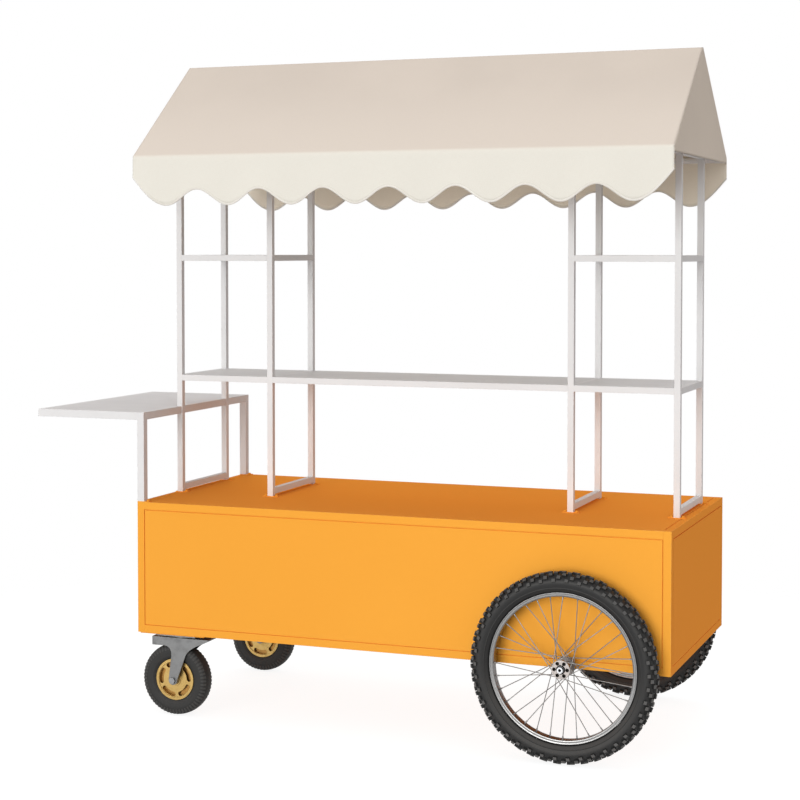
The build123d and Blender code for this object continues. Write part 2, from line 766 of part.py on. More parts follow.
with BuildPart() as caster_plates:
    with BuildSketch(Plane.XY.offset(plate_underside)):
        with Locations(*[(swivel_x, row) for row in caster_rows.values()]):
            Rectangle(caster_plate_length, caster_plate_width)
            Circle(kingpin_diameter / 2, mode=Mode.SUBTRACT)
        with Locations(*bolt_holes):
            Circle(caster_bolt_diameter / 2 + bolt_gap, mode=Mode.SUBTRACT)
    extrude(amount=caster_plate_thickness)
    with BuildSketch(Plane.XY.offset(plate_underside)):
        with Locations(*[(swivel_x, row) for row in caster_rows.values()]):
            Circle(race_diameter / 2)
            Circle(race_bore / 2, mode=Mode.SUBTRACT)
    extrude(amount=-(race_height - seat_gap))
keep(caster_plates, "caster_plates")

crown_underside = crown_top_z - fork_sheet
with BuildPart() as caster_kingpins:
    with BuildSketch(Plane.XY.offset(mount_underside)):
        with Locations(*[(swivel_x, row) for row in caster_rows.values()]):
            Circle(kingpin_diameter / 2)
    extrude(amount=-(mount_underside - crown_underside + seat_gap))
    with BuildSketch(Plane.XY.offset(crown_underside - seat_gap)):
        with Locations(*[(swivel_x, row) for row in caster_rows.values()]):
            Circle(kingpin_head_diameter / 2)
    extrude(amount=-kingpin_head_height)
keep(caster_kingpins, "caster_kingpins")

# Each bolt with its nut: head under the top plate, nut on the mounting plate
bolt_reach = mount_plate_thickness + caster_plate_thickness
with BuildPart() as caster_bolts:
    with BuildSketch(Plane.XY.offset(plate_underside)):
        with Locations(*bolt_holes):
            Circle(caster_bolt_diameter / 2)
    extrude(amount=bolt_reach + caster_bolt_tail)
    for nut_face, nut_way in ((plate_underside, -1), (ride_height, 1)):
        with BuildSketch(Plane.XY.offset(nut_face)):
            with Locations(*bolt_holes):
                RegularPolygon(caster_bolt_head_width / 2, 6, major_radius=False)
        extrude(amount=nut_way * caster_bolt_head_height)
keep(caster_bolts, "caster_bolts")

# Casters: a pressed fork with two cheeks, then the wheel and its bolt
fork_half = caster_tyre_width / 2 + fork_side_gap
crown_left = fork_crown_shift - fork_crown_length / 2
crown_right = fork_crown_shift + fork_crown_length / 2
tip_start = crown_right - fork_tip_length
leg_half = fork_leg_width / 2
leg_foot = caster_axle_z - crown_top_z
leg_left = -caster_trail - leg_half
leg_right = -caster_trail + leg_half
shoulder_left = leg_left + fork_leg_lean
shoulder_right = leg_right + fork_leg_lean + fork_leg_flare
bush_radius = caster_bush_diameter / 2
barrel_outer = caster_barrel_diameter / 2
barrel_inner = barrel_outer - caster_rim_wall
rim_half = caster_rim_width / 2
disc_outer = rim_half - caster_disc_setback
disc_inner = disc_outer - caster_disc_sheet
hub_outer = bush_radius + caster_hub_wall
tyre_seat_half = rim_half - caster_rim_lip - seat_gap
slot_line = CenterArc((0, 0), caster_slot_circle / 2, -caster_slot_sweep / 2, caster_slot_sweep)

for caster_name, row in caster_rows.items():
    side = sides[caster_name]
    with BuildPart() as fork:
        cheek_plane = Plane((swivel_x, row, crown_top_z), x_dir=(1, 0, 0), z_dir=(0, -1, 0))
        for cheek_start in (fork_half, -fork_half - fork_sheet):
            with BuildSketch(cheek_plane.offset(cheek_start)):
                with BuildLine():
                    Polyline((crown_left, 0), (crown_left, -fork_lip_height),
                             (shoulder_left - fork_lip_height, -fork_lip_height))
                    Bezier((shoulder_left - fork_lip_height, -fork_lip_height),
                           (shoulder_left, -fork_lip_height), (shoulder_left, -fork_shoulder_drop))
                    Line((shoulder_left, -fork_shoulder_drop), (leg_left, leg_foot))
                    ThreePointArc((leg_left, leg_foot), (-caster_trail, leg_foot - leg_half),
                                  (leg_right, leg_foot))
                    Line((leg_right, leg_foot), (shoulder_right, -fork_shoulder_drop))
                    Bezier((shoulder_right, -fork_shoulder_drop),
                           (shoulder_right + fork_bend_reach, -fork_bend_drop),
                           (tip_start, -fork_tip_height - fork_tip_fall))
                    Polyline((tip_start, -fork_tip_height - fork_tip_fall), (crown_right, -fork_tip_height),
                             (crown_right, 0), (crown_left, 0))
                make_face()
                with Locations((-caster_trail, leg_foot)):
                    Circle(caster_axle_diameter / 2 + seat_gap, mode=Mode.SUBTRACT)
            extrude(amount=fork_sheet)
        with BuildSketch(Plane.XY.offset(crown_underside)):
            with Locations((swivel_x + fork_crown_shift, row)):
                Rectangle(fork_crown_length, 2 * (fork_half + fork_sheet))
            with Locations((swivel_x, row)):
                Circle(kingpin_diameter / 2 + running_gap, mode=Mode.SUBTRACT)
        extrude(amount=fork_sheet)
    keep(fork, f"{caster_name}_caster_fork")

    outboard = Plane((caster_axle_x, row, caster_axle_z), x_dir=(1, 0, 0), z_dir=(0, side, 0))
    with BuildPart() as caster_axle:
        with BuildSketch(outboard.offset(-fork_half - fork_sheet)):
            Circle(caster_axle_diameter / 2)
        extrude(amount=2 * (fork_half + fork_sheet))
        for nut_face, nut_way in ((fork_half + fork_sheet, 1), (-fork_half - fork_sheet, -1)):
            with BuildSketch(outboard.offset(nut_face)):
                RegularPolygon(caster_axle_head_width / 2, 6, major_radius=False)
            extrude(amount=nut_way * caster_axle_head_height)
    keep(caster_axle, f"{caster_name}_caster_axle")

    with BuildPart() as caster_bush:
        with BuildSketch(outboard.offset(seat_gap - fork_half)):
            Circle(bush_radius)
            Circle(caster_axle_diameter / 2 + running_gap, mode=Mode.SUBTRACT)
        extrude(amount=2 * (fork_half - seat_gap))
    keep(caster_bush, f"{caster_name}_caster_bush")

    # The caster wheel's section plane has the radius as x and the axle as y
    section = Plane((caster_axle_x, row, caster_axle_z), x_dir=(0, 0, 1), z_dir=(-1, 0, 0))
    spin = Axis((caster_axle_x, row, caster_axle_z), (0, 1, 0))
    with BuildPart() as caster_rim:
        with BuildSketch(section):
            with Locations(((barrel_inner + barrel_outer) / 2, 0)):
                Rectangle(caster_rim_wall, caster_rim_width)
            with Locations((barrel_outer + caster_rim_lip / 2, rim_half - caster_rim_lip / 2),
                           (barrel_outer + caster_rim_lip / 2, caster_rim_lip / 2 - rim_half)):
                Rectangle(caster_rim_lip, caster_rim_lip)
            with Locations(((bush_radius + hub_outer) / 2, 0)):
                Rectangle(caster_hub_wall, caster_rim_width)
            with Locations(((hub_outer + barrel_inner) / 2, (disc_inner + disc_outer) / 2),
                           ((hub_outer + barrel_inner) / 2, -(disc_inner + disc_outer) / 2)):
                Rectangle(barrel_inner - hub_outer, caster_disc_sheet)
            with Locations(((hub_outer + barrel_inner) / 2, 0)):
                Rectangle(barrel_inner - hub_outer, caster_web)
        revolve(axis=spin)
        for disc_face in (-disc_outer, disc_inner):
            with BuildSketch(outboard.offset(disc_face)):
                with PolarLocations(0, caster_slot_count, start_angle=caster_slot_turn):
                    SlotArc(slot_line, caster_slot_width)
            extrude(amount=caster_disc_sheet, mode=Mode.SUBTRACT)
    keep(caster_rim, f"{caster_name}_caster_rim")

    tread_half = caster_tread_width / 2
    tread_radius = caster_wheel_diameter / 2
    neck_radius = barrel_outer + caster_rim_lip + seat_gap
    with BuildPart() as caster_tyre:
        with BuildSketch(section):
            with BuildLine():
                Polyline(
                    (neck_radius, -tyre_seat_half),
                    (barrel_outer + seat_gap, -tyre_seat_half),
                    (barrel_outer + seat_gap, tyre_seat_half),
                    (neck_radius, tyre_seat_half),
                )
                ThreePointArc((neck_radius, tyre_seat_half),
                              ((neck_radius + tread_radius) / 2, caster_tyre_width / 2),
                              (tread_radius - caster_tread_drop, tread_half))
                ThreePointArc((tread_radius - caster_tread_drop, tread_half), (tread_radius, 0),
                              (tread_radius - caster_tread_drop, -tread_half))
                ThreePointArc((tread_radius - caster_tread_drop, -tread_half),
                              ((neck_radius + tread_radius) / 2, -caster_tyre_width / 2),
                              (neck_radius, -tyre_seat_half))
            make_face()
        revolve(axis=spin)
    keep(caster_tyre, f"{caster_name}_caster_tyre")
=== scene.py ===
import json
import math

import bmesh
import bpy
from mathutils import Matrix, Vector


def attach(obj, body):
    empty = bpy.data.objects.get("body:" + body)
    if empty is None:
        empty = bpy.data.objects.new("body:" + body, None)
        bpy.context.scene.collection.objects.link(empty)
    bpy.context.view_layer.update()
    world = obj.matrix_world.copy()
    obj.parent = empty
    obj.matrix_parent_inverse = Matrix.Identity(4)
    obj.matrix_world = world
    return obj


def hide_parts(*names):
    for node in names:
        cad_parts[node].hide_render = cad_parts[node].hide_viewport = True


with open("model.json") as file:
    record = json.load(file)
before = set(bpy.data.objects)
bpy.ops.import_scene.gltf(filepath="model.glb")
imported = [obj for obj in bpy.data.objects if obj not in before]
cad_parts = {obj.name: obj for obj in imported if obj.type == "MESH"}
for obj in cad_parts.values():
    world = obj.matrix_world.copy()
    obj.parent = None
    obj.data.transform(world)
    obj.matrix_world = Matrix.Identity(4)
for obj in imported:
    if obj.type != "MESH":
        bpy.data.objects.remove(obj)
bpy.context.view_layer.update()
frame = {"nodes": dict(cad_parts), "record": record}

nodes = frame["nodes"]


# a node's output that takes part in plain sums
class Wire:
    def __init__(self, maker, socket):
        self.maker = maker
        self.socket = socket

    def math(self, operation, *values):
        return self.maker.node("ShaderNodeMath", {"operation": operation}, dict(enumerate(values)))

    def __add__(self, other):
        return self.math("ADD", self, other)

    def __radd__(self, other):
        return self.math("ADD", other, self)

    def __sub__(self, other):
        return self.math("SUBTRACT", self, other)

    def __rsub__(self, other):
        return self.math("SUBTRACT", other, self)

    def __mul__(self, other):
        return self.math("MULTIPLY", self, other)

    def __rmul__(self, other):
        return self.math("MULTIPLY", other, self)

    def __truediv__(self, other):
        return self.math("DIVIDE", self, other)

    def __rtruediv__(self, other):
        return self.math("DIVIDE", other, self)

    def __mod__(self, other):
        return self.math("MODULO", self, other)

    def __rmod__(self, other):
        return self.math("MODULO", other, self)

    def __pow__(self, other):
        return self.math("POWER", self, other)

    def __rpow__(self, other):
        return self.math("POWER", other, self)

    def sin(self):
        return self.math("SINE", self)

    def cos(self):
        return self.math("COSINE", self)

    def abs(self):
        return self.math("ABSOLUTE", self)

    def least(self, other):
        return self.math("MINIMUM", self, other)

    def most(self, other):
        return self.math("MAXIMUM", self, other)

    def above(self, level):                          # 1 where the value is more than the level
        return self.math("GREATER_THAN", self, level)

    def ease(self, low, high):                       # 0 at low, 1 at high, smooth between
        return self.maker.node("ShaderNodeMapRange", {"interpolation_type": "SMOOTHSTEP"},
                               {"Value": self, "From Min": low, "From Max": high})

    def other(self, name):                           # another output of the same node
        return Wire(self.maker, self.socket.node.outputs[name])


class NodeMaker:
    def __init__(self, tree):
        self.tree = tree

    def node(self, kind, settings=None, inputs=None, output=0):
        made = self.tree.nodes.new(kind)
        for key, value in (settings or {}).items():
            setattr(made, key, value)
        for key, value in (inputs or {}).items():
            socket = made.inputs[key]
            if isinstance(value, Wire):
                self.tree.links.new(value.socket, socket)
            else:
                socket.default_value = value
        if len(made.outputs) == 0:
            return None
        return Wire(self, made.outputs[output])

    def axes(self, vector):
        split = self.node("ShaderNodeSeparateXYZ", {}, {0: vector})
        return split, split.other("Y"), split.other("Z")

    def join(self, x, y, z):
        return self.node("ShaderNodeCombineXYZ", {}, {0: x, 1: y, 2: z})

    def seen(self):                                  # 1 for the view and mirrors, 0 for what lights the piece
        path = self.node("ShaderNodeLightPath", {}, {}, "Is Camera Ray")
        return (path + path.other("Is Glossy Ray") + path.other("Is Transmission Ray")).least(1.0)


class Finish(NodeMaker):
    def __init__(self, name):
        self.material = bpy.data.materials.new(name)
        self.material.use_nodes = True
        super().__init__(self.material.node_tree)
        self.tree.nodes.clear()

    def space(self):
        return self.node("ShaderNodeTexCoord", {}, {}, "Object")

    def cut(self):                                   # the cloth's own map, in metres of flat cloth
        return self.node("ShaderNodeUVMap", {"uv_map": "cut"})

    def facing(self):                                # x, y and z of the way the surface faces
        return self.axes(self.node("ShaderNodeNewGeometry", {}, {}, "Normal"))

    def noise(self, vector, scale, detail=3.0, rough=0.5):
        return self.node("ShaderNodeTexNoise", {}, {"Vector": vector, "Scale": scale, "Detail": detail,
                                                    "Roughness": rough})

    def stretch(self, vector, scale):
        return self.node("ShaderNodeMapping", {}, {"Vector": vector, "Scale": scale})

    def mix(self, factor, first, second):
        sides = [(*side, 1.0) if isinstance(side, tuple) else side for side in (first, second)]
        return self.node("ShaderNodeMix", {"data_type": "RGBA"}, {0: factor, 6: sides[0], 7: sides[1]}, 2)

    def bump(self, height, strength, distance):
        return self.node("ShaderNodeBump", {}, {"Height": height, "Strength": strength, "Distance": distance})

    def done(self, inputs):
        shader = self.node("ShaderNodeBsdfPrincipled", {}, inputs)
        self.node("ShaderNodeOutputMaterial", {}, {"Surface": shader})
        return self.material


class ShapeTree(NodeMaker):
    def __init__(self, name, sizes):
        super().__init__(bpy.data.node_groups.new(name, "GeometryNodeTree"))
        panel = self.tree.interface
        panel.new_socket("Geometry", in_out="INPUT", socket_type="NodeSocketGeometry")
        for label, kind in sizes.items():
            panel.new_socket(label, in_out="INPUT", socket_type="NodeSocket" + kind)
        panel.new_socket("Geometry", in_out="OUTPUT", socket_type="NodeSocketGeometry")
        self.entry = self.node("NodeGroupInput")

    def given(self, label):
        return self.entry.other(label)

    def close(self, shape):
        real = self.node("GeometryNodeRealizeInstances", {}, {"Geometry": shape})
        dressed = self.node("GeometryNodeSetMaterial", {}, {"Geometry": real,
                                                            "Material": self.given("Finish")})
        self.node("NodeGroupOutput", {}, {"Geometry": dressed})
        return self.tree


def grow(tree, mesh, sizes):                         # runs a shape tree on a mesh and gives back a plain mesh
    piece = bpy.data.objects.new("growing", mesh)
    bpy.context.scene.collection.objects.link(piece)
    modifier = piece.modifiers.new("shape", "NODES")
    modifier.node_group = tree
    for socket in tree.interface.items_tree:
        if socket.in_out == "INPUT" and socket.name in sizes:
            modifier[socket.identifier] = sizes[socket.name]
    made = bpy.data.meshes.new_from_object(piece.evaluated_get(bpy.context.evaluated_depsgraph_get()))
    bpy.data.objects.remove(piece)
    return made


def merge(name, meshes, finish):                     # several meshes of one finish as one
    shape = bmesh.new()
    for mesh in meshes:
        shape.from_mesh(mesh)
    joined = bpy.data.meshes.new(name)
    shape.to_mesh(joined)
    shape.free()
    joined.materials.clear()
    joined.materials.append(finish)
    return joined


def smoothBy(mesh, degrees):
    shape = bmesh.new()
    shape.from_mesh(mesh)
    for face in shape.faces:
        face.smooth = True
    for edge in shape.edges:
        edge.smooth = edge.calc_face_angle(0.0) < math.radians(degrees)
    shape.to_mesh(mesh)
    shape.free()


def place(name, mesh, body, replaced=()):
    piece = bpy.data.objects.new(name, mesh)
    bpy.context.scene.collection.objects.link(piece)
    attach(piece, body)
    if replaced:
        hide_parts(*replaced)
    return piece


# angles in degrees: past a crease the shading breaks, past bevelFrom an edge is rounded
edgeSizes = {"turnedCrease": 40, "pressedCrease": 32, "bevelFrom": 35, "bevelSteps": 2, "flatWithin": 0.5,
             "weldGap": 2e-6}


def lathe(name, outline, centre, steps, finish):     # turns an outline of (radius, across) round the axle
    shape = bmesh.new()
    rings = []
    for step in range(steps):
        turn = 2 * math.pi * step / steps
        rings.append([shape.verts.new((centre[0] + radius * math.cos(turn), centre[1] + across,
                                       centre[2] + radius * math.sin(turn))) for radius, across in outline])
    for step in range(steps):
        near, far = rings[step], rings[(step + 1) % steps]
        for point in range(len(outline)):
            ahead = (point + 1) % len(outline)
            shape.faces.new((near[point], near[ahead], far[ahead], far[point]))
    bmesh.ops.recalc_face_normals(shape, faces=shape.faces)
    mesh = bpy.data.meshes.new(name)
    shape.to_mesh(mesh)
    shape.free()
    mesh.materials.append(finish)
    smoothBy(mesh, edgeSizes["turnedCrease"])
    return mesh


def softened(node, name, body, slot, width):         # a CAD piece with its sharp edges eased
    shape = bmesh.new()
    shape.from_mesh(nodes[node].data)
    bmesh.ops.remove_doubles(shape, verts=shape.verts, dist=edgeSizes["weldGap"])
    bmesh.ops.dissolve_limit(shape, angle_limit=math.radians(edgeSizes["flatWithin"]), verts=shape.verts,
                             edges=shape.edges)
    mesh = bpy.data.meshes.new(name)
    shape.to_mesh(mesh)
    shape.free()
    mesh.materials.clear()
    mesh.materials.append(finishes[slot])
    smoothBy(mesh, edgeSizes["pressedCrease"])
    piece = place(name, mesh, body, (node,))
    ease = piece.modifiers.new("easedEdges", "BEVEL")
    ease.width = width
    ease.segments = edgeSizes["bevelSteps"]
    ease.limit_method = "ANGLE"
    ease.angle_limit = math.radians(edgeSizes["bevelFrom"])
    ease.harden_normals = True


def darker(colour, share):
    return tuple(part * share for part in colour)


def reachFrom(axle, x, z):                           # distance from an axle that runs along Y
    return ((x - axle[0]) ** 2 + (z - axle[1]) ** 2) ** 0.5


# finishes: scales per metre, a range is where a mask goes from 0 to 1, relief is bump strength and depth
enamelLook = {"colour": (0.822, 0.366, 0.0490), "deep": (0.808, 0.356, 0.0465), "paintedEndShade": (0.93, 0.370, 0.068),
              "wearAndPaintedLight": (0.93, 0.50, 0.14), "glint": (1.0, 0.50, 0.10, 1.0), "edge": 0.0022, "edgeShare": 0.55,
              "boxMiddle": (0.188, 0.0, 0.498), "boxHalf": (0.9, 0.4, 0.218),
              "driftScale": 1.4, "driftRange": (0.35, 0.65), "speckScale": 60.0, "speckRange": (0.42, 0.62),
              "sideRange": (0.3, 0.7), "topRange": (0.5, 0.9), "peelScale": 480.0, "relief": (0.05, 0.0006),
              "rough": 0.52, "speckRough": 0.10, "edgeRough": 0.08,
              "metal": 0.27, "topMetal": 0.14, "edgeMetal": 0.15}


def orangeEnamel():
    look = enamelLook
    paint = Finish("orangeEnamel")
    spot = paint.space()
    facing = paint.facing()
    drift = paint.noise(spot, look["driftScale"], 2.0)
    speck = paint.noise(spot, look["speckScale"], 5.0, 0.6)
    peel = paint.noise(spot, look["peelScale"], 2.0)
    gaps = [half - (axis - middle).abs()
            for axis, middle, half in zip(paint.axes(spot), look["boxMiddle"], look["boxHalf"])]
    # the middle one of the three gaps is small only along the edges of the box
    inner = gaps[0].least(gaps[1]).most(gaps[0].most(gaps[1]).least(gaps[2]))
    edge = (1 - inner.ease(0.0, look["edge"])) * speck.ease(*look["speckRange"])
    tone = paint.mix(drift.ease(*look["driftRange"]), look["deep"], look["colour"])
    sideways = facing[1].abs().ease(*look["sideRange"])
    tone = paint.mix(sideways, look["paintedEndShade"], tone)  # painted shade: the ends and the top get a redder paint than the long sides
    # wear: lighter paint along the box edges
    tone = paint.mix(edge * look["edgeShare"], tone, look["wearAndPaintedLight"])
    upward = facing[2].ease(*look["topRange"])
    return paint.done({"Base Color": tone,
                       "Roughness": look["rough"] + look["speckRough"] * speck + look["edgeRough"] * edge,
                       "Metallic": look["metal"] + look["topMetal"] * upward - look["edgeMetal"] * edge,
                       "Specular IOR Level": 0.0, "Specular Tint": look["glint"],
                       "Normal": paint.bump(peel, *look["relief"])})


coatLook = {"cloudScale": 5.0, "cloudRange": (0.3, 0.7), "smudgeScale": 38.0, "smudgeRange": (0.58, 0.80),
            "smudgeShare": 0.25, "smudgeDark": 0.80, "smudgeRough": 0.14, "gloss": 0.08,
            "grainScale": 900.0, "relief": (0.10, 0.0004)}


def powderCoat(name, colour, shade, rough):
    look = coatLook
    paint = Finish(name)
    spot = paint.space()
    cloud = paint.noise(spot, look["cloudScale"], 4.0)
    grain = paint.noise(spot, look["grainScale"], 2.0)
    smudge = paint.noise(spot, look["smudgeScale"], 6.0, 0.65)
    tone = paint.mix(cloud.ease(*look["cloudRange"]), shade, colour)
    tone = paint.mix(smudge.ease(*look["smudgeRange"]) * look["smudgeShare"], tone,
                     darker(shade, look["smudgeDark"]))
    return paint.done({"Base Color": tone, "Roughness": rough + look["smudgeRough"] * smudge,
                       "Specular IOR Level": look["gloss"], "Normal": paint.bump(grain, *look["relief"])})


# eaves are the places of the two eaves across the flat cloth, and the drop for painted light is how far up
# from them the roof is painted paler
clothLook = {"roof": (0.716, 0.645, 0.568), "paintedEaveLight": (0.782, 0.711, 0.629), "valance": (0.890, 0.872, 0.790),
             "gable": (0.940, 0.852, 0.730), "paintedInsideLight": (0.980, 0.905, 0.765), "soil": (0.55, 0.47, 0.38),
             "eaves": (0.165, 1.2085), "eaveRange": (-0.012, 0.006), "paintedLightDrop": 0.46, "paintedLightShare": 0.9,
             "paintedInsideRange": (0.0, 0.02), "cloudScale": 2.6, "cloudRange": (0.3, 0.7), "cloudDark": 0.955,
             "thread": 0.0016, "slubs": (60.0, 1400.0, 1.0), "bars": (1400.0, 60.0, 1.0), "softScale": 14.0,
             "soilRange": (0.2, 1.0), "soilShare": 0.22, "rough": 0.82, "weaveRough": 0.10,
             "sheen": 0.06, "sheenRough": 0.5, "gloss": 0.12, "relief": (0.25, 0.0008)}


def canvas(name, main, lower=None):
    look = clothLook
    cloth = Finish(name)
    flat = cloth.cut()
    along, across = cloth.axes(flat)[:2]
    step = 2 * math.pi / look["thread"]
    weave = (along * step).sin() * (across * step).sin() * 0.5 + 0.5
    slubs = cloth.noise(cloth.stretch(flat, look["slubs"]), 1.0, 3.0)
    bars = cloth.noise(cloth.stretch(flat, look["bars"]), 1.0, 3.0)
    cloud = cloth.noise(flat, look["cloudScale"], 4.0)
    soft = cloth.noise(flat, look["softScale"], 3.0)
    tone = cloth.mix(cloud.ease(*look["cloudRange"]), darker(main, look["cloudDark"]), main)
    if lower:                                        # painted light: paler towards the eaves, with the valance below them
        drop = (across - look["eaves"][0]).least(look["eaves"][1] - across)
        tone = cloth.mix((1 - drop.ease(0.0, look["paintedLightDrop"])) * look["paintedLightShare"], tone, look["paintedEaveLight"])
        tone = cloth.mix(drop.ease(*look["eaveRange"]), lower, tone)
        # painted light: the inward face of the cover is paler and warmer
        inward = cloth.axes(cloth.space())[1] * cloth.facing()[1] * -1
        tone = cloth.mix(inward.ease(*look["paintedInsideRange"]), tone, look["paintedInsideLight"])
    thread = (slubs + bars - 1.0) * 0.5 + (weave - 0.5) * 0.25
    tone = cloth.mix((0.5 - thread).ease(*look["soilRange"]) * look["soilShare"], tone, look["soil"])
    height = weave * 0.6 + slubs * 0.5 + bars * 0.5 + soft * 1.6
    return cloth.done({"Base Color": tone, "Roughness": look["rough"] + look["weaveRough"] * weave,
                       "Sheen Weight": look["sheen"], "Sheen Roughness": look["sheenRough"],
                       "Specular IOR Level": look["gloss"], "Normal": cloth.bump(height, *look["relief"])})


wheelAxle = (0.770, 0.2925)                          # x and z
casterAxle = (-0.597, 0.120)
rubberLook = {"dustScale": 48.0, "dustShare": 0.6, "filmScale": 7.0, "filmShare": 0.4,
              "dustRange": (0.42, 0.68), "dustRough": 0.16, "dustAndPaintedTopLightRange": (-0.10, 0.40),
              "dustAndPaintedTopLightShare": 0.85, "sideRange": (0.05, 0.25), "topRange": (0.84, 0.98),
              "paintedLightRange": (-0.6, 0.5),
              "grainScale": 1100.0, "relief": (0.16, 0.0005), "gloss": 0.34}
tyreRubber = {"axle": wheelAxle, "bead": (0.2332, 0.2356), "shoulder": (0.264, 0.272), "rough": 0.62,
              "dark": (0.0150, 0.0150, 0.0150), "dusty": (0.032, 0.031, 0.030), "dustShare": 0.5,
              "dustAndPaintedTopLight": (0.064, 0.062, 0.059), "paintedRootShade": (0.004, 0.004, 0.004), "top": (0.076, 0.075, 0.073),
              "wearAndPaintedLight": (0.150, 0.148, 0.145)}
casterRubber = {"axle": casterAxle, "bead": (0.0700, 0.0716), "shoulder": (0.106, 0.112), "rough": 0.66,
                "dark": (0.022, 0.022, 0.021), "dusty": (0.036, 0.035, 0.033), "dustShare": 0.6,
                "dustAndPaintedTopLight": (0.041, 0.040, 0.039), "paintedRootShade": (0.017, 0.017, 0.017), "top": (0.050, 0.049, 0.047),
                "wearAndPaintedLight": (0.056, 0.055, 0.053)}


def rubber(name, tyreLook):                          # tread blocks: painted shade at the sides, wear and painted light on the tops
    look = rubberLook
    skin = Finish(name)
    spot = skin.space()
    raised = skin.node("ShaderNodeAttribute", {"attribute_name": "raised"}, {}, "Fac")
    dust = skin.noise(spot, look["dustScale"], 6.0, 0.65)
    film = skin.noise(spot, look["filmScale"], 3.0)
    grain = skin.noise(spot, look["grainScale"], 2.0)
    haze = dust * look["dustShare"] + film * look["filmShare"]
    mask = haze.ease(*look["dustRange"]) * tyreLook["dustShare"]
    upward = skin.facing()[2]
    x, z = skin.axes(spot)[::2]
    reach = reachFrom(tyreLook["axle"], x, z)
    wall = 1 - reach.ease(*tyreLook["shoulder"])
    # dust and painted top light: the sidewall is paler where it faces up
    dustAndPaintedTopLight = upward.ease(*look["dustAndPaintedTopLightRange"]) * wall * look["dustAndPaintedTopLightShare"]
    tone = skin.mix(mask, tyreLook["dark"], tyreLook["dusty"])
    tone = skin.mix(dustAndPaintedTopLight, tone, tyreLook["dustAndPaintedTopLight"])
    # painted shade on the sides of the tread blocks
    tone = skin.mix(raised.ease(*look["sideRange"]), tone, tyreLook["paintedRootShade"])
    # block tops: wear makes them paler than the carcass, and painted light makes them paler still where they
    # face down
    wearAndPaintedLight = skin.mix(upward.ease(*look["paintedLightRange"]), tyreLook["wearAndPaintedLight"], tyreLook["top"])
    tone = skin.mix(raised.ease(*look["topRange"]), tone, wearAndPaintedLight)
    tone = skin.mix(reach.ease(*tyreLook["bead"]), tyreLook["paintedRootShade"], tone)   # painted shade: a dark line beside the rim
    return skin.done({"Base Color": tone, "Roughness": tyreLook["rough"] + look["dustRough"] * mask,
                      "Specular IOR Level": look["gloss"],
                      "Normal": skin.bump(grain + dust, *look["relief"])})


# a pit is a ring of holes or gaps: its radius and half width, and how far face and floor are from its plane
paintedRecessShade = (0.010, 0.009, 0.008)
hubPits = [{"ring": 0.0205, "half": 0.0060, "plane": 0.0, "face": 0.479, "floor": 0.4715, "paintedRecessShade": paintedRecessShade}]
boltPits = [{"ring": 0.0, "half": 0.0056, "plane": 0.0, "face": 0.4893, "floor": 0.4823, "paintedRecessShade": paintedRecessShade},
            {"ring": 0.0120, "half": 0.0026, "plane": 0.0, "face": 0.4790, "floor": 0.4600, "paintedRecessShade": paintedRecessShade}]
slotPits = [{"ring": 0.051, "half": 0.0090, "plane": 0.338, "face": 0.019, "floor": 0.008,
             "paintedRecessShade": (0.330, 0.175, 0.050)}]
rimPaintedLight = {"upward": (0.95, 0.935, 0.905), "upRange": (0.0, 0.75), "bed": (0.2184, 0.2204),
             "flank": (0.138, 0.136, 0.135), "flankFrom": (0.2190, 0.2204), "flankTo": (0.2268, 0.2280),
             "lowRange": (-0.03, 0.08), "lowShare": 0.6}
turnedLook = {"ringScale": 900.0, "ringRough": 0.10, "stainScale": 55.0, "stainRange": (0.45, 0.72),
              "stainShare": 0.6, "stainRough": 0.16, "relief": (0.08, 0.0004),
              "pitEdge": 0.0004, "pitRange": (0.0003, 0.0016), "pitFloor": 0.0006}


def turnedMetal(name, bright, dull, rough, axle, pits=(), paintedLight=None):   # fine rings round an axle along Y
    look = turnedLook
    metal = Finish(name)
    spot = metal.space()
    x, y, z = metal.axes(spot)
    reach = reachFrom(axle, x, z)
    rings = metal.noise(metal.join(reach * look["ringScale"], y * look["ringScale"], 0.0), 1.0, 3.0)
    stain = metal.noise(spot, look["stainScale"], 5.0, 0.6)
    mask = stain.ease(*look["stainRange"]) * look["stainShare"]
    tone = metal.mix(mask, bright, dull)
    if paintedLight:                                       # painted shade on the flank, less of it low down, and a painted highlight low down where the bed faces up
        low = (axle[1] - z).ease(*paintedLight["lowRange"])
        flank = reach.ease(*paintedLight["flankFrom"]) * (1 - reach.ease(*paintedLight["flankTo"]))
        upward = metal.facing()[2].ease(*paintedLight["upRange"]) * reach.ease(*paintedLight["bed"])
        tone = metal.mix(flank * (1 - low * paintedLight["lowShare"]), tone, paintedLight["flank"])
        tone = metal.mix(upward * low, tone, paintedLight["upward"])
    for pit in pits:                                 # painted shade in holes and gaps
        level = (y.abs() - pit["plane"]).abs()
        band = (pit["half"] - (reach - pit["ring"]).abs()).ease(0.0, look["pitEdge"])
        depth = (pit["face"] - level).ease(*look["pitRange"])
        deep = (level - pit["floor"]).ease(-look["pitFloor"], 0.0)
        tone = metal.mix(band * depth * deep, tone, pit["paintedRecessShade"])
    return metal.done({"Base Color": tone, "Metallic": 1.0,
                       "Roughness": rough + look["ringRough"] * rings + look["stainRough"] * mask,
                       "Normal": metal.bump(rings, *look["relief"])})


wireLook = {"drawnScale": (500.0, 500.0, 500.0), "stainScale": 40.0, "stainRange": (0.4, 0.7),
            "stainShare": 0.7, "stainRough": 0.18, "metal": 0.8, "gloss": 0.3, "relief": (0.05, 0.0003)}


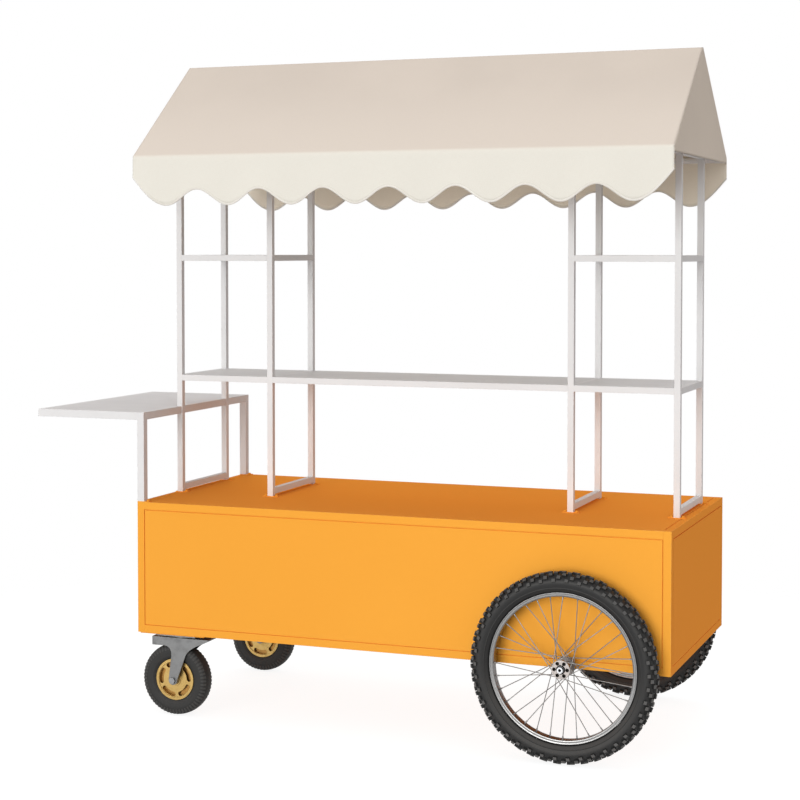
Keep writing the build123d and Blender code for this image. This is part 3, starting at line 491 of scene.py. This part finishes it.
def wireSteel(name, bright, dull, rough):
    look = wireLook
    metal = Finish(name)
    spot = metal.space()
    drawn = metal.noise(metal.stretch(spot, look["drawnScale"]), 1.0, 2.0)
    stain = metal.noise(spot, look["stainScale"], 4.0)
    tone = metal.mix(stain.ease(*look["stainRange"]) * look["stainShare"], bright, dull)
    return metal.done({"Base Color": tone, "Metallic": look["metal"], "Specular IOR Level": look["gloss"],
                       "Roughness": rough + look["stainRough"] * stain,
                       "Normal": metal.bump(drawn, *look["relief"])})


zincLook = {"spangleScale": 160.0, "spangleShare": 0.2, "stainScale": 32.0, "stainRange": (0.42, 0.70),
            "stainShare": 0.7, "maskRough": 0.22, "metal": 0.85, "relief": (0.10, 0.0004)}


def zincPlate(name, bright, dull, rough):
    look = zincLook
    metal = Finish(name)
    spot = metal.space()
    spangle = metal.node("ShaderNodeTexVoronoi", {}, {"Vector": spot, "Scale": look["spangleScale"]})
    stain = metal.noise(spot, look["stainScale"], 5.0, 0.6)
    mask = stain.ease(*look["stainRange"]) * look["stainShare"] + spangle * look["spangleShare"]
    return metal.done({"Base Color": metal.mix(mask, bright, dull), "Metallic": look["metal"],
                       "Roughness": rough + look["maskRough"] * mask,
                       "Normal": metal.bump(spangle + stain, *look["relief"])})


finishes = {
    "enamel": orangeEnamel(),
    "white_tube": powderCoat("whiteTube", (0.840, 0.840, 0.840), (0.805, 0.805, 0.805), 0.40),
    "shelf_sheet": powderCoat("shelfSheet", (0.80, 0.80, 0.80), (0.76, 0.76, 0.76), 0.42),
    "cover_cloth": canvas("coverCanvas", clothLook["roof"], clothLook["valance"]),
    # the gable colour is far paler than the roof's: painted light on the shaded ends
    "gable_cloth": canvas("gableCanvas", clothLook["gable"]),
    "tyre_rubber": rubber("tyreRubber", tyreRubber),
    "rim_alloy": turnedMetal("rimAlloy", (0.235, 0.231, 0.230), (0.175, 0.172, 0.171), 0.26, wheelAxle,
                             paintedLight=rimPaintedLight),
    "hub_alloy": turnedMetal("hubAlloy", (0.298, 0.268, 0.252), (0.185, 0.172, 0.162), 0.28, wheelAxle,
                             hubPits),
    "spoke_steel": wireSteel("spokeWire", (0.270, 0.262, 0.255), (0.195, 0.190, 0.185), 0.30),
    "bright_steel": turnedMetal("groundSteel", (0.48, 0.48, 0.49), (0.32, 0.32, 0.33), 0.24, wheelAxle,
                                boltPits),
    "caster_steel": zincPlate("pressedFork", (0.176, 0.176, 0.176), (0.160, 0.160, 0.160), 0.46),
    "zinc": zincPlate("zincPlate", (0.29, 0.295, 0.30), (0.19, 0.19, 0.195), 0.30),
    "caster_gold": turnedMetal("casterGold", (0.435, 0.292, 0.104), (0.305, 0.196, 0.062), 0.30, casterAxle,
                               slotPits),
    "caster_rubber": rubber("casterRubber", casterRubber),
}
hemTape = powderCoat("hemTape", (0.87, 0.85, 0.79), (0.80, 0.77, 0.70), 0.62)
seamThread = powderCoat("seamThread", (0.80, 0.75, 0.66), (0.72, 0.66, 0.57), 0.7)
for part in frame["record"]["subparts"]:
    holder = nodes[part["node"]]
    holder.data.materials.clear()
    holder.data.materials.append(finishes[part["material_slot"]])
print("finishes", len(finishes))


# canopy cover: one sheet over the ridge and eave tubes, with a scalloped valance along both sides
cover = {"left": -0.716, "length": 1.808, "eaveY": 0.3997, "eaveZ": 1.855, "ridgeZ": 2.1787, "radius": 0.0113,
         "lobe": 0.155, "crest": 0.103, "end": 0.062, "pitch": 0.223, "lobes": 8, "middle": 0.188,
         "columns": 226, "valanceRows": 12, "eaveRows": 5, "slopeRows": 26, "ridgeRows": 4, "cloth": 0.0014,
         "rafters": (-0.694, 1.045), "sag": 0.005, "slackPower": 0.6, "ripple": 0.0006, "rippleTurns": (9, 5),
         "flutter": 0.0035, "flutterPower": 1.4, "waveStart": 0.1, "waveLength": 0.223, "slowLength": 0.37,
         "slowShare": 0.6}
roofAngle = math.atan2(cover["ridgeZ"] - cover["eaveZ"], cover["eaveY"])
slopeLength = cover["eaveY"] / math.cos(roofAngle)
eaveArc = cover["radius"] * (math.pi / 2 - roofAngle)
ridgeArc = cover["radius"] * 2 * roofAngle
halfCut = cover["lobe"] + eaveArc + slopeLength + ridgeArc / 2


def valanceDrop(x):
    firstLobe = cover["middle"] - (cover["lobes"] - 1) * cover["pitch"] / 2
    lastLobe = 2 * cover["middle"] - firstLobe
    if firstLobe <= x <= lastLobe:
        wave = 0.5 + 0.5 * math.cos(2 * math.pi * (x - firstLobe) / cover["pitch"])
        return cover["crest"] + (cover["lobe"] - cover["crest"]) * wave
    share = (x - cover["left"]) / (firstLobe - cover["left"])
    if x > lastLobe:
        share = (cover["left"] + cover["length"] - x) / (firstLobe - cover["left"])
    return cover["end"] + (cover["lobe"] - cover["end"]) * math.sin(share * math.pi / 2)


def coverRows():                                     # (kind, share) from the hem up to the ridge
    rows = [("valance", step / cover["valanceRows"]) for step in range(cover["valanceRows"])]
    rows += [("eave", step / cover["eaveRows"]) for step in range(cover["eaveRows"])]
    rows += [("slope", step / cover["slopeRows"]) for step in range(cover["slopeRows"])]
    return rows + [("ridge", step / cover["ridgeRows"]) for step in range(cover["ridgeRows"] + 1)]


def slack(x):                                        # 0 over the rafters, 1 midway between them
    first, last = cover["rafters"]
    if first < x < last:
        return math.sin(math.pi * (x - first) / (last - first)) ** cover["slackPower"]
    return 0.0


def coverPoint(side, kind, share, x):                # place and distance from the lowest hem line
    radius, eaveY, eaveZ = cover["radius"], cover["eaveY"], cover["eaveZ"]
    normal = math.pi / 2 - roofAngle
    if kind == "valance":
        drop = valanceDrop(x) * (1 - share)
        wave = math.sin(2 * math.pi * (x - cover["waveStart"]) / cover["waveLength"] + side)
        wave += cover["slowShare"] * math.sin(2 * math.pi * x / cover["slowLength"])
        lean = cover["flutter"] * wave * (drop / cover["lobe"]) ** cover["flutterPower"]
        return (x, side * (eaveY + radius + lean), eaveZ - drop), cover["lobe"] - drop
    if kind == "eave":
        turn = normal * share
        return ((x, side * (eaveY + radius * math.cos(turn)), eaveZ + radius * math.sin(turn)),
                cover["lobe"] + eaveArc * share)
    if kind == "slope":
        along, up = cover["rippleTurns"]
        ripple = cover["ripple"] * math.sin(along * x + up * share)
        lift = radius + (ripple - cover["sag"]) * slack(x) * math.sin(math.pi * share)
        y = eaveY * (1 - share) + lift * math.cos(normal)
        z = eaveZ + (cover["ridgeZ"] - eaveZ) * share + lift * math.sin(normal)
        return (x, side * y, z), cover["lobe"] + eaveArc + slopeLength * share
    turn = normal + roofAngle * share
    return ((x, side * radius * math.cos(turn), cover["ridgeZ"] + radius * math.sin(turn)),
            halfCut - ridgeArc / 2 * (1 - share))


def coverLines():                                    # every row from the front hem over to the rear hem
    half = coverRows()
    return [(-1, kind, share) for kind, share in half] + [(1, kind, share) for kind, share in half[-2::-1]]


def coverColumns():
    return [cover["left"] + cover["length"] * step / cover["columns"] for step in range(cover["columns"] + 1)]


def clothSheet(name, grid, cuts, slot, node, thickness):
    shape = bmesh.new()
    layer = shape.loops.layers.uv.new("cut")
    points = [[shape.verts.new(spot) for spot in row] for row in grid]
    for row in range(len(grid) - 1):
        for column in range(len(grid[row]) - 1):
            corners = ((row, column), (row, column + 1), (row + 1, column + 1), (row + 1, column))
            face = shape.faces.new([points[a][b] for a, b in corners])
            face.smooth = True
            for loop, (a, b) in zip(face.loops, corners):
                loop[layer].uv = cuts[a][b]
    mesh = bpy.data.meshes.new(name)
    shape.to_mesh(mesh)
    shape.free()
    mesh.materials.append(finishes[slot])
    piece = place(name, mesh, "trolley", (node,))
    wall = piece.modifiers.new("clothThickness", "SOLIDIFY")
    wall.thickness = thickness
    wall.offset = 0.0
    return piece


def makeCover():
    grid, cuts = [], []
    for side, kind, share in coverLines():
        row = [coverPoint(side, kind, share, x) for x in coverColumns()]
        grid.append([spot for spot, run in row])
        cuts.append([(spot[0] - cover["left"], run if side < 0 else 2 * halfCut - run) for spot, run in row])
    return clothSheet("canopyCover", grid, cuts, "cover_cloth", "canopy_cover", cover["cloth"])


canopyCover = makeCover()
print("canopy cover", len(canopyCover.data.polygons), "faces")


# hem tape and stitches follow the cover's edges
hem = {"tapeWidth": 0.0065, "tapeThickness": 0.0022, "tapeRound": 0.4, "tapeRise": 0.0012,
       "stitchPitch": 0.0048, "stitchLength": 0.0036, "stitchWidth": 0.0009, "stitchRise": 0.009,
       "stitchSides": 6, "stitchRings": 4}


def pathMesh(name, paths):
    mesh = bpy.data.meshes.new(name)
    spots, links = [], []
    for path in paths:
        first = len(spots)
        spots += path
        links += [(first + step, first + step + 1) for step in range(len(path) - 1)]
    mesh.from_pydata(spots, links, [])
    return mesh


def bindingTree():
    tape = ShapeTree("edgeBinding", {"Width": "Float", "Thickness": "Float", "Finish": "Material"})
    line = tape.node("GeometryNodeMeshToCurve", {}, {0: tape.given("Geometry")})
    section = tape.node("GeometryNodeCurvePrimitiveQuadrilateral", {}, {"Width": tape.given("Thickness"),
                                                                        "Height": tape.given("Width")})
    rounded = tape.node("GeometryNodeFilletCurve", {}, {"Curve": section,
                                                        "Radius": tape.given("Thickness") * hem["tapeRound"]})
    swept = tape.node("GeometryNodeCurveToMesh", {}, {"Curve": line, "Profile Curve": rounded,
                                                      "Fill Caps": True})
    return tape.close(swept)


def stitchTree():
    row = ShapeTree("stitchRow", {"Pitch": "Float", "Length": "Float", "Width": "Float",
                                  "Finish": "Material"})
    line = row.node("GeometryNodeMeshToCurve", {}, {0: row.given("Geometry")})
    beads = row.node("GeometryNodeCurveToPoints", {"mode": "LENGTH"}, {"Curve": line,
                                                                       "Length": row.given("Pitch")})
    bead = row.node("GeometryNodeMeshUVSphere", {}, {"Segments": hem["stitchSides"],
                                                     "Rings": hem["stitchRings"], "Radius": 0.5})
    size = row.join(row.given("Width"), row.given("Width"), row.given("Length"))
    sewn = row.node("GeometryNodeInstanceOnPoints", {}, {"Points": beads, "Instance": bead,
                                                         "Rotation": beads.other("Rotation"), "Scale": size})
    return row.close(sewn)


def hemPath(side, rise):
    return [coverPoint(side, "valance", rise / valanceDrop(x), x)[0] for x in coverColumns()]


tapeMesh = grow(bindingTree(), pathMesh("hemLine", [hemPath(side, hem["tapeRise"]) for side in (-1, 1)]),
                {"Width": hem["tapeWidth"], "Thickness": hem["tapeThickness"], "Finish": hemTape})
canopyHem = place("canopyHem", tapeMesh, "trolley")
seamMesh = grow(stitchTree(), pathMesh("seamLine", [hemPath(side, hem["stitchRise"]) for side in (-1, 1)]),
                {"Pitch": hem["stitchPitch"], "Length": hem["stitchLength"], "Width": hem["stitchWidth"],
                 "Finish": seamThread})
canopyStitches = place("canopyStitches", seamMesh, "trolley")
girths = [2 * (halfCut - cover["lobe"] + valanceDrop(x)) for x in coverColumns()]
flatArea = sum(girths) / len(girths)
flatArea * cover["length"]
print("canopy hem", len(tapeMesh.polygons), "stitches", len(seamMesh.polygons))


# gables: a triangle of cloth laced inside each end of the roof
gable = {"radius": 0.0100, "foot": 0.010, "inset": 0.001, "columns": 40, "eaveRows": 3, "slopeRows": 22,
         "apexRise": 0.95, "apexHalf": 0.3, "cloth": 0.0014, "bulge": 0.0035, "bulgePower": 0.8,
         "fold": 0.0006, "foldTurns": (26, 11), "cutMiddle": 0.5}


def gableRows():                                     # (height, half width) from the hem to the apex
    radius, eaveY, eaveZ, ridgeZ = gable["radius"], cover["eaveY"], cover["eaveZ"], cover["ridgeZ"]
    normal = math.pi / 2 - roofAngle
    rows = [(eaveZ - gable["foot"], eaveY + radius), (eaveZ - gable["foot"] / 2, eaveY + radius)]
    for step in range(gable["eaveRows"] + 1):
        turn = normal * step / gable["eaveRows"]
        rows.append((eaveZ + radius * math.sin(turn), eaveY + radius * math.cos(turn)))
    for step in range(1, gable["slopeRows"] + 1):
        share = step / gable["slopeRows"]
        rows.append((eaveZ + (ridgeZ - eaveZ) * share + radius * math.sin(normal),
                     eaveY * (1 - share) + radius * math.cos(normal)))
    return rows + [(ridgeZ + radius * gable["apexRise"], radius * gable["apexHalf"])]


def makeGable(name, x, inward, node):
    grid, cuts = [], []
    halves = gableRows()
    foot = halves[0][0]
    rise = cover["ridgeZ"] - foot
    across, up = gable["foldTurns"]
    for z, half in halves:
        row, cut = [], []
        height = min(1.0, max(0.0, (z - foot) / rise))
        for column in range(gable["columns"] + 1):
            y = half * (2 * column / gable["columns"] - 1)
            belly = (1 - (y / half) ** 2) * math.sin(math.pi * height) ** gable["bulgePower"]
            fold = gable["fold"] * math.sin(across * y + up * z)
            row.append((x + inward * (gable["bulge"] + fold) * belly, y, z))
            cut.append((y + gable["cutMiddle"], z - foot))
        grid.append(row)
        cuts.append(cut)
    piece = clothSheet(name, grid, cuts, "gable_cloth", node, gable["cloth"])
    area = sum((upper[0] - lower[0]) * (upper[1] + lower[1]) for lower, upper in zip(halves, halves[1:]))
    2 * halves[0][1]
    halves[-1][0] - foot


makeGable("leftGableCloth", cover["left"] + gable["inset"], 1, "left_gable")
makeGable("rightGableCloth", cover["left"] + cover["length"] - gable["inset"], -1, "right_gable")
print("gables done")


# tyres: a turned carcass, as (radius, across) from the bead to the crown, with rows of tread blocks
tyre = {"axle": wheelAxle, "middleY": 0.448, "steps": 160,
        "carcass": [(0.2312, 0.0130), (0.2345, 0.0180), (0.2400, 0.0232), (0.2440, 0.0254), (0.2446, 0.0264),
                    (0.2462, 0.0264), (0.2468, 0.0262), (0.2540, 0.0296), (0.2600, 0.0306), (0.2660, 0.0298),
                    (0.2730, 0.0262), (0.2780, 0.0218), (0.2825, 0.0150), (0.2848, 0.0070), (0.2853, 0.0)],
        "rows": [{"Count": 84, "Radius": 0.2872, "Across": 0.0062, "Tilt": 0.05, "Length": 0.0146,
                  "Width": 0.0106, "Height": 0.0104, "Taper": 0.12, "Phase": 0.0},
                 {"Count": 84, "Radius": 0.2838, "Across": 0.0174, "Tilt": 0.50, "Length": 0.0128,
                  "Width": 0.0110, "Height": 0.0114, "Taper": 0.14, "Phase": -0.102},
                 {"Count": 84, "Radius": 0.2772, "Across": 0.0250, "Tilt": 0.92, "Length": 0.0128,
                  "Width": 0.0112, "Height": 0.0110, "Taper": 0.14, "Phase": -0.046},
                 {"Count": 84, "Radius": 0.2690, "Across": 0.0290, "Tilt": 1.12, "Length": 0.0124,
                  "Width": 0.0110, "Height": 0.0096, "Taper": 0.15, "Phase": 0.012}]}
casterTyre = {"axle": casterAxle, "middleY": 0.338, "steps": 112,
              "carcass": [(0.0693, 0.0187), (0.0730, 0.0222), (0.0780, 0.0250), (0.0800, 0.0262),
                          (0.0815, 0.0262), (0.0830, 0.0264), (0.0900, 0.0279), (0.0960, 0.0280),
                          (0.1030, 0.0274), (0.1085, 0.0260), (0.1120, 0.0240), (0.1164, 0.0190),
                          (0.1188, 0.0110), (0.1196, 0.0)],
              "rows": [{"Count": 116, "Radius": 0.1118, "Across": 0.0220, "Tilt": 0.92, "Length": 0.0076,
                        "Width": 0.0110, "Height": 0.0040, "Taper": 0.12, "Phase": 0.030},
                       {"Count": 116, "Radius": 0.1040, "Across": 0.0257, "Tilt": 1.32, "Length": 0.0072,
                        "Width": 0.0104, "Height": 0.0040, "Taper": 0.12, "Phase": 0.030}]}
raisedMark = {"paintedRootShade": 0.3, "rise": 0.7}              # what a block's lower and upper corners tell the rubber


def blockTree():
    tread = ShapeTree("treadBlocks", {"Count": "Int", "Radius": "Float", "Across": "Float", "Tilt": "Float",
                                      "Length": "Float", "Width": "Float", "Height": "Float",
                                      "Taper": "Float", "Phase": "Float", "Centre": "Vector",
                                      "Finish": "Material"})
    index = tread.node("GeometryNodeInputIndex")
    angle = index * (2 * math.pi) / tread.given("Count") + tread.given("Phase")
    side = (index % 2) * 2 - 1
    radius = tread.given("Radius")
    ring = tread.join(angle.cos() * radius, side * tread.given("Across"), angle.sin() * radius)
    spot = tread.node("ShaderNodeVectorMath", {"operation": "ADD"}, {0: ring, 1: tread.given("Centre")})
    points = tread.node("GeometryNodePoints", {}, {"Count": tread.given("Count"), "Position": spot})
    size = tread.join(tread.given("Length"), tread.given("Width"), tread.given("Height"))
    cube = tread.node("GeometryNodeMeshCube", {}, {"Size": size})
    x, y, z = tread.axes(tread.node("GeometryNodeInputPosition"))
    top = z.above(0.0)
    pull = 1 - tread.given("Taper") * top
    marked = tread.node("GeometryNodeStoreNamedAttribute", {"data_type": "FLOAT", "domain": "POINT"},
                        {"Geometry": cube, "Name": "raised",
                         "Value": raisedMark["paintedRootShade"] + raisedMark["rise"] * top})
    block = tread.node("GeometryNodeSetPosition", {}, {"Geometry": marked,
                                                       "Position": tread.join(x * pull, y * pull, z)})
    turn = tread.node("FunctionNodeEulerToRotation", {},
                      {0: tread.join(-1 * side * tread.given("Tilt"), math.pi / 2 - angle, 0.0)})
    row = tread.node("GeometryNodeInstanceOnPoints", {}, {"Points": points, "Instance": block,
                                                          "Rotation": turn})
    return tread.close(row)


treadBlocks = blockTree()
emptyMesh = bpy.data.meshes.new("startingPoint")


def wheelCentre(sizes, side):
    return sizes["axle"][0], side * sizes["middleY"], sizes["axle"][1]


def makeTyre(name, sizes, side, body, slot, node):
    centre = wheelCentre(sizes, side)
    half = sizes["carcass"]
    outline = half + [(radius, -across) for radius, across in half[-2::-1]]
    meshes = [lathe(name + "Carcass", outline, centre, sizes["steps"], finishes[slot])]
    meshes[0].attributes.new("raised", "FLOAT", "POINT")
    for row in sizes["rows"]:
        meshes.append(grow(treadBlocks, emptyMesh, {**row, "Centre": centre, "Finish": finishes[slot]}))
    mesh = merge(name, meshes, finishes[slot])
    return place(name, mesh, body, (node,))


# rims: a turned ring with a rolled lip, a flat flank and a rounded bed
rim = {"steps": 144,
       "half": [(0.2203, 0.0), (0.2203, 0.0118), (0.2210, 0.0130), (0.2290, 0.0132), (0.2302, 0.0138),
                (0.2305, 0.0147), (0.2302, 0.0156), (0.2294, 0.0160), (0.2284, 0.0159), (0.2277, 0.0153),
                (0.2270, 0.0149), (0.2258, 0.0148), (0.2222, 0.0151), (0.2200, 0.0149), (0.2186, 0.0141),
                (0.2178, 0.0124), (0.2175, 0.0096), (0.2173, 0.0)]}
easedBy = {"fork": 0.0012, "casterRim": 0.0009, "hub": 0.0006}


def makeRim(name, side, body, node):
    half = rim["half"]
    outline = half + [(radius, -across) for radius, across in half[-2:0:-1]]
    mesh = lathe(name, outline, wheelCentre(tyre, side), rim["steps"], finishes["rim_alloy"])
    place(name, mesh, body, (node,))


for end, side in (("front", -1), ("rear", 1)):
    wheel, caster, casterWheel = end + "_wheel", end + "_caster", end + "_caster_wheel"
    makeRim(end + "RimRing", side, wheel, end + "_rim")
    wheelTyre = makeTyre(end + "TyreTread", tyre, side, wheel, "tyre_rubber", end + "_tyre")
    smallTyre = makeTyre(end + "CasterTread", casterTyre, side, casterWheel, "caster_rubber",
                         end + "_caster_tyre")
    softened(end + "_caster_fork", end + "ForkPressing", caster, "caster_steel", easedBy["fork"])
    softened(end + "_caster_rim", end + "CasterDisc", casterWheel, "caster_gold", easedBy["casterRim"])
    softened(end + "_hub", end + "HubShell", wheel, "hub_alloy", easedBy["hub"])
print("tyres", len(wheelTyre.data.polygons), len(smallTyre.data.polygons))


# studio: pale floor that fades out, white surroundings, one broad front light
studio = {"around": 0.34, "above": 0.865, "tint": (1.0, 0.945, 0.93, 1.0), "white": (1.0, 1.0, 1.0, 1.0),
          "key": 1.72, "keyAngle": 40.0, "keyColour": (0.985, 1.0, 1.0), "keyFrom": (-0.15, -0.979, 0.139),
          "keyFar": 6, "floorReach": 4.0, "floorSides": 96, "floorDrop": 0.0006,
          "fadeFrom": 1.3, "fadeTo": 2.8, "floorGlow": 0.88, "floorSeen": (0.26, 0.28, 0.285, 1.0),
          "floorBounce": (0.50, 0.50, 0.50, 1.0)}


def makeFloor():
    pale = Finish("paleFloor")
    x, y = pale.axes(pale.space())[:2]
    fade = ((x ** 2 + y ** 2) ** 0.5).ease(studio["fadeFrom"], studio["fadeTo"])
    matte = pale.node("ShaderNodeBsdfDiffuse", {}, {"Color": studio["floorSeen"]})
    bounce = pale.node("ShaderNodeBsdfDiffuse", {}, {"Color": studio["floorBounce"]})
    glow = pale.node("ShaderNodeEmission", {}, {"Strength": studio["floorGlow"]})
    bright = pale.node("ShaderNodeAddShader", {}, {0: matte, 1: glow})
    lit = pale.node("ShaderNodeMixShader", {}, {0: pale.seen(), 1: bounce, 2: bright})
    clear = pale.node("ShaderNodeBsdfTransparent")
    below = pale.node("ShaderNodeNewGeometry", {}, {}, "Backfacing")
    both = pale.node("ShaderNodeMixShader", {}, {0: fade.most(below), 1: lit, 2: clear})
    pale.node("ShaderNodeOutputMaterial", {}, {"Surface": both})
    shape = bmesh.new()
    bmesh.ops.create_circle(shape, cap_ends=True, segments=studio["floorSides"], radius=studio["floorReach"])
    bmesh.ops.translate(shape, verts=shape.verts, vec=(0.0, 0.0, -studio["floorDrop"]))
    for face in shape.faces:
        face.normal_update()
        if face.normal.z < 0:
            face.normal_flip()
    mesh = bpy.data.meshes.new("floor")
    shape.to_mesh(mesh)
    shape.free()
    mesh.materials.append(pale.material)
    floor = bpy.data.objects.new("floor", mesh)
    bpy.context.scene.collection.objects.link(floor)


def makeWorld():
    world = bpy.data.worlds.new("whiteStudio")
    world.use_nodes = True
    world.node_tree.nodes.clear()
    air = NodeMaker(world.node_tree)
    height = air.axes(air.node("ShaderNodeTexCoord", {}, {}, "Generated"))[2].most(0.0)
    around = air.node("ShaderNodeBackground", {}, {"Color": studio["tint"], "Strength": studio["around"]})
    above = air.node("ShaderNodeBackground", {}, {"Color": studio["tint"], "Strength": studio["above"]})
    dim = air.node("ShaderNodeMixShader", {}, {0: height, 1: around, 2: above})
    white = air.node("ShaderNodeBackground", {}, {"Color": studio["white"], "Strength": 1.0})
    both = air.node("ShaderNodeMixShader", {}, {0: air.seen(), 1: dim, 2: white})
    air.node("ShaderNodeOutputWorld", {}, {"Surface": both})
    bpy.context.scene.world = world


def makeKey():
    lamp = bpy.data.lights.new("frontKey", "SUN")
    lamp.energy = studio["key"]
    lamp.angle = math.radians(studio["keyAngle"])
    lamp.color = studio["keyColour"]
    key = bpy.data.objects.new("frontKey", lamp)
    bpy.context.scene.collection.objects.link(key)
    key.location = Vector(studio["keyFrom"]) * studio["keyFar"]
    key.rotation_euler = Vector(studio["keyFrom"]).to_track_quat("Z", "Y").to_euler()


makeFloor()
makeWorld()
makeKey()
view = {"spot": (2.229, -5.6514, 1.5499), "turn": (87.8, 0.0, 20.9), "lens": 80.86, "sensor": 36.0,
        "rise": -0.1}
lens = bpy.data.cameras.new("photoCamera")
lens.lens = view["lens"]
lens.sensor_width = view["sensor"]
lens.shift_y = view["rise"]
camera = bpy.data.objects.new("photoCamera", lens)
bpy.context.scene.collection.objects.link(camera)
camera.location = view["spot"]
camera.rotation_euler = [math.radians(angle) for angle in view["turn"]]
bpy.context.scene.camera = camera
bpy.context.scene.view_settings.view_transform = "Standard"
print("studio ready")
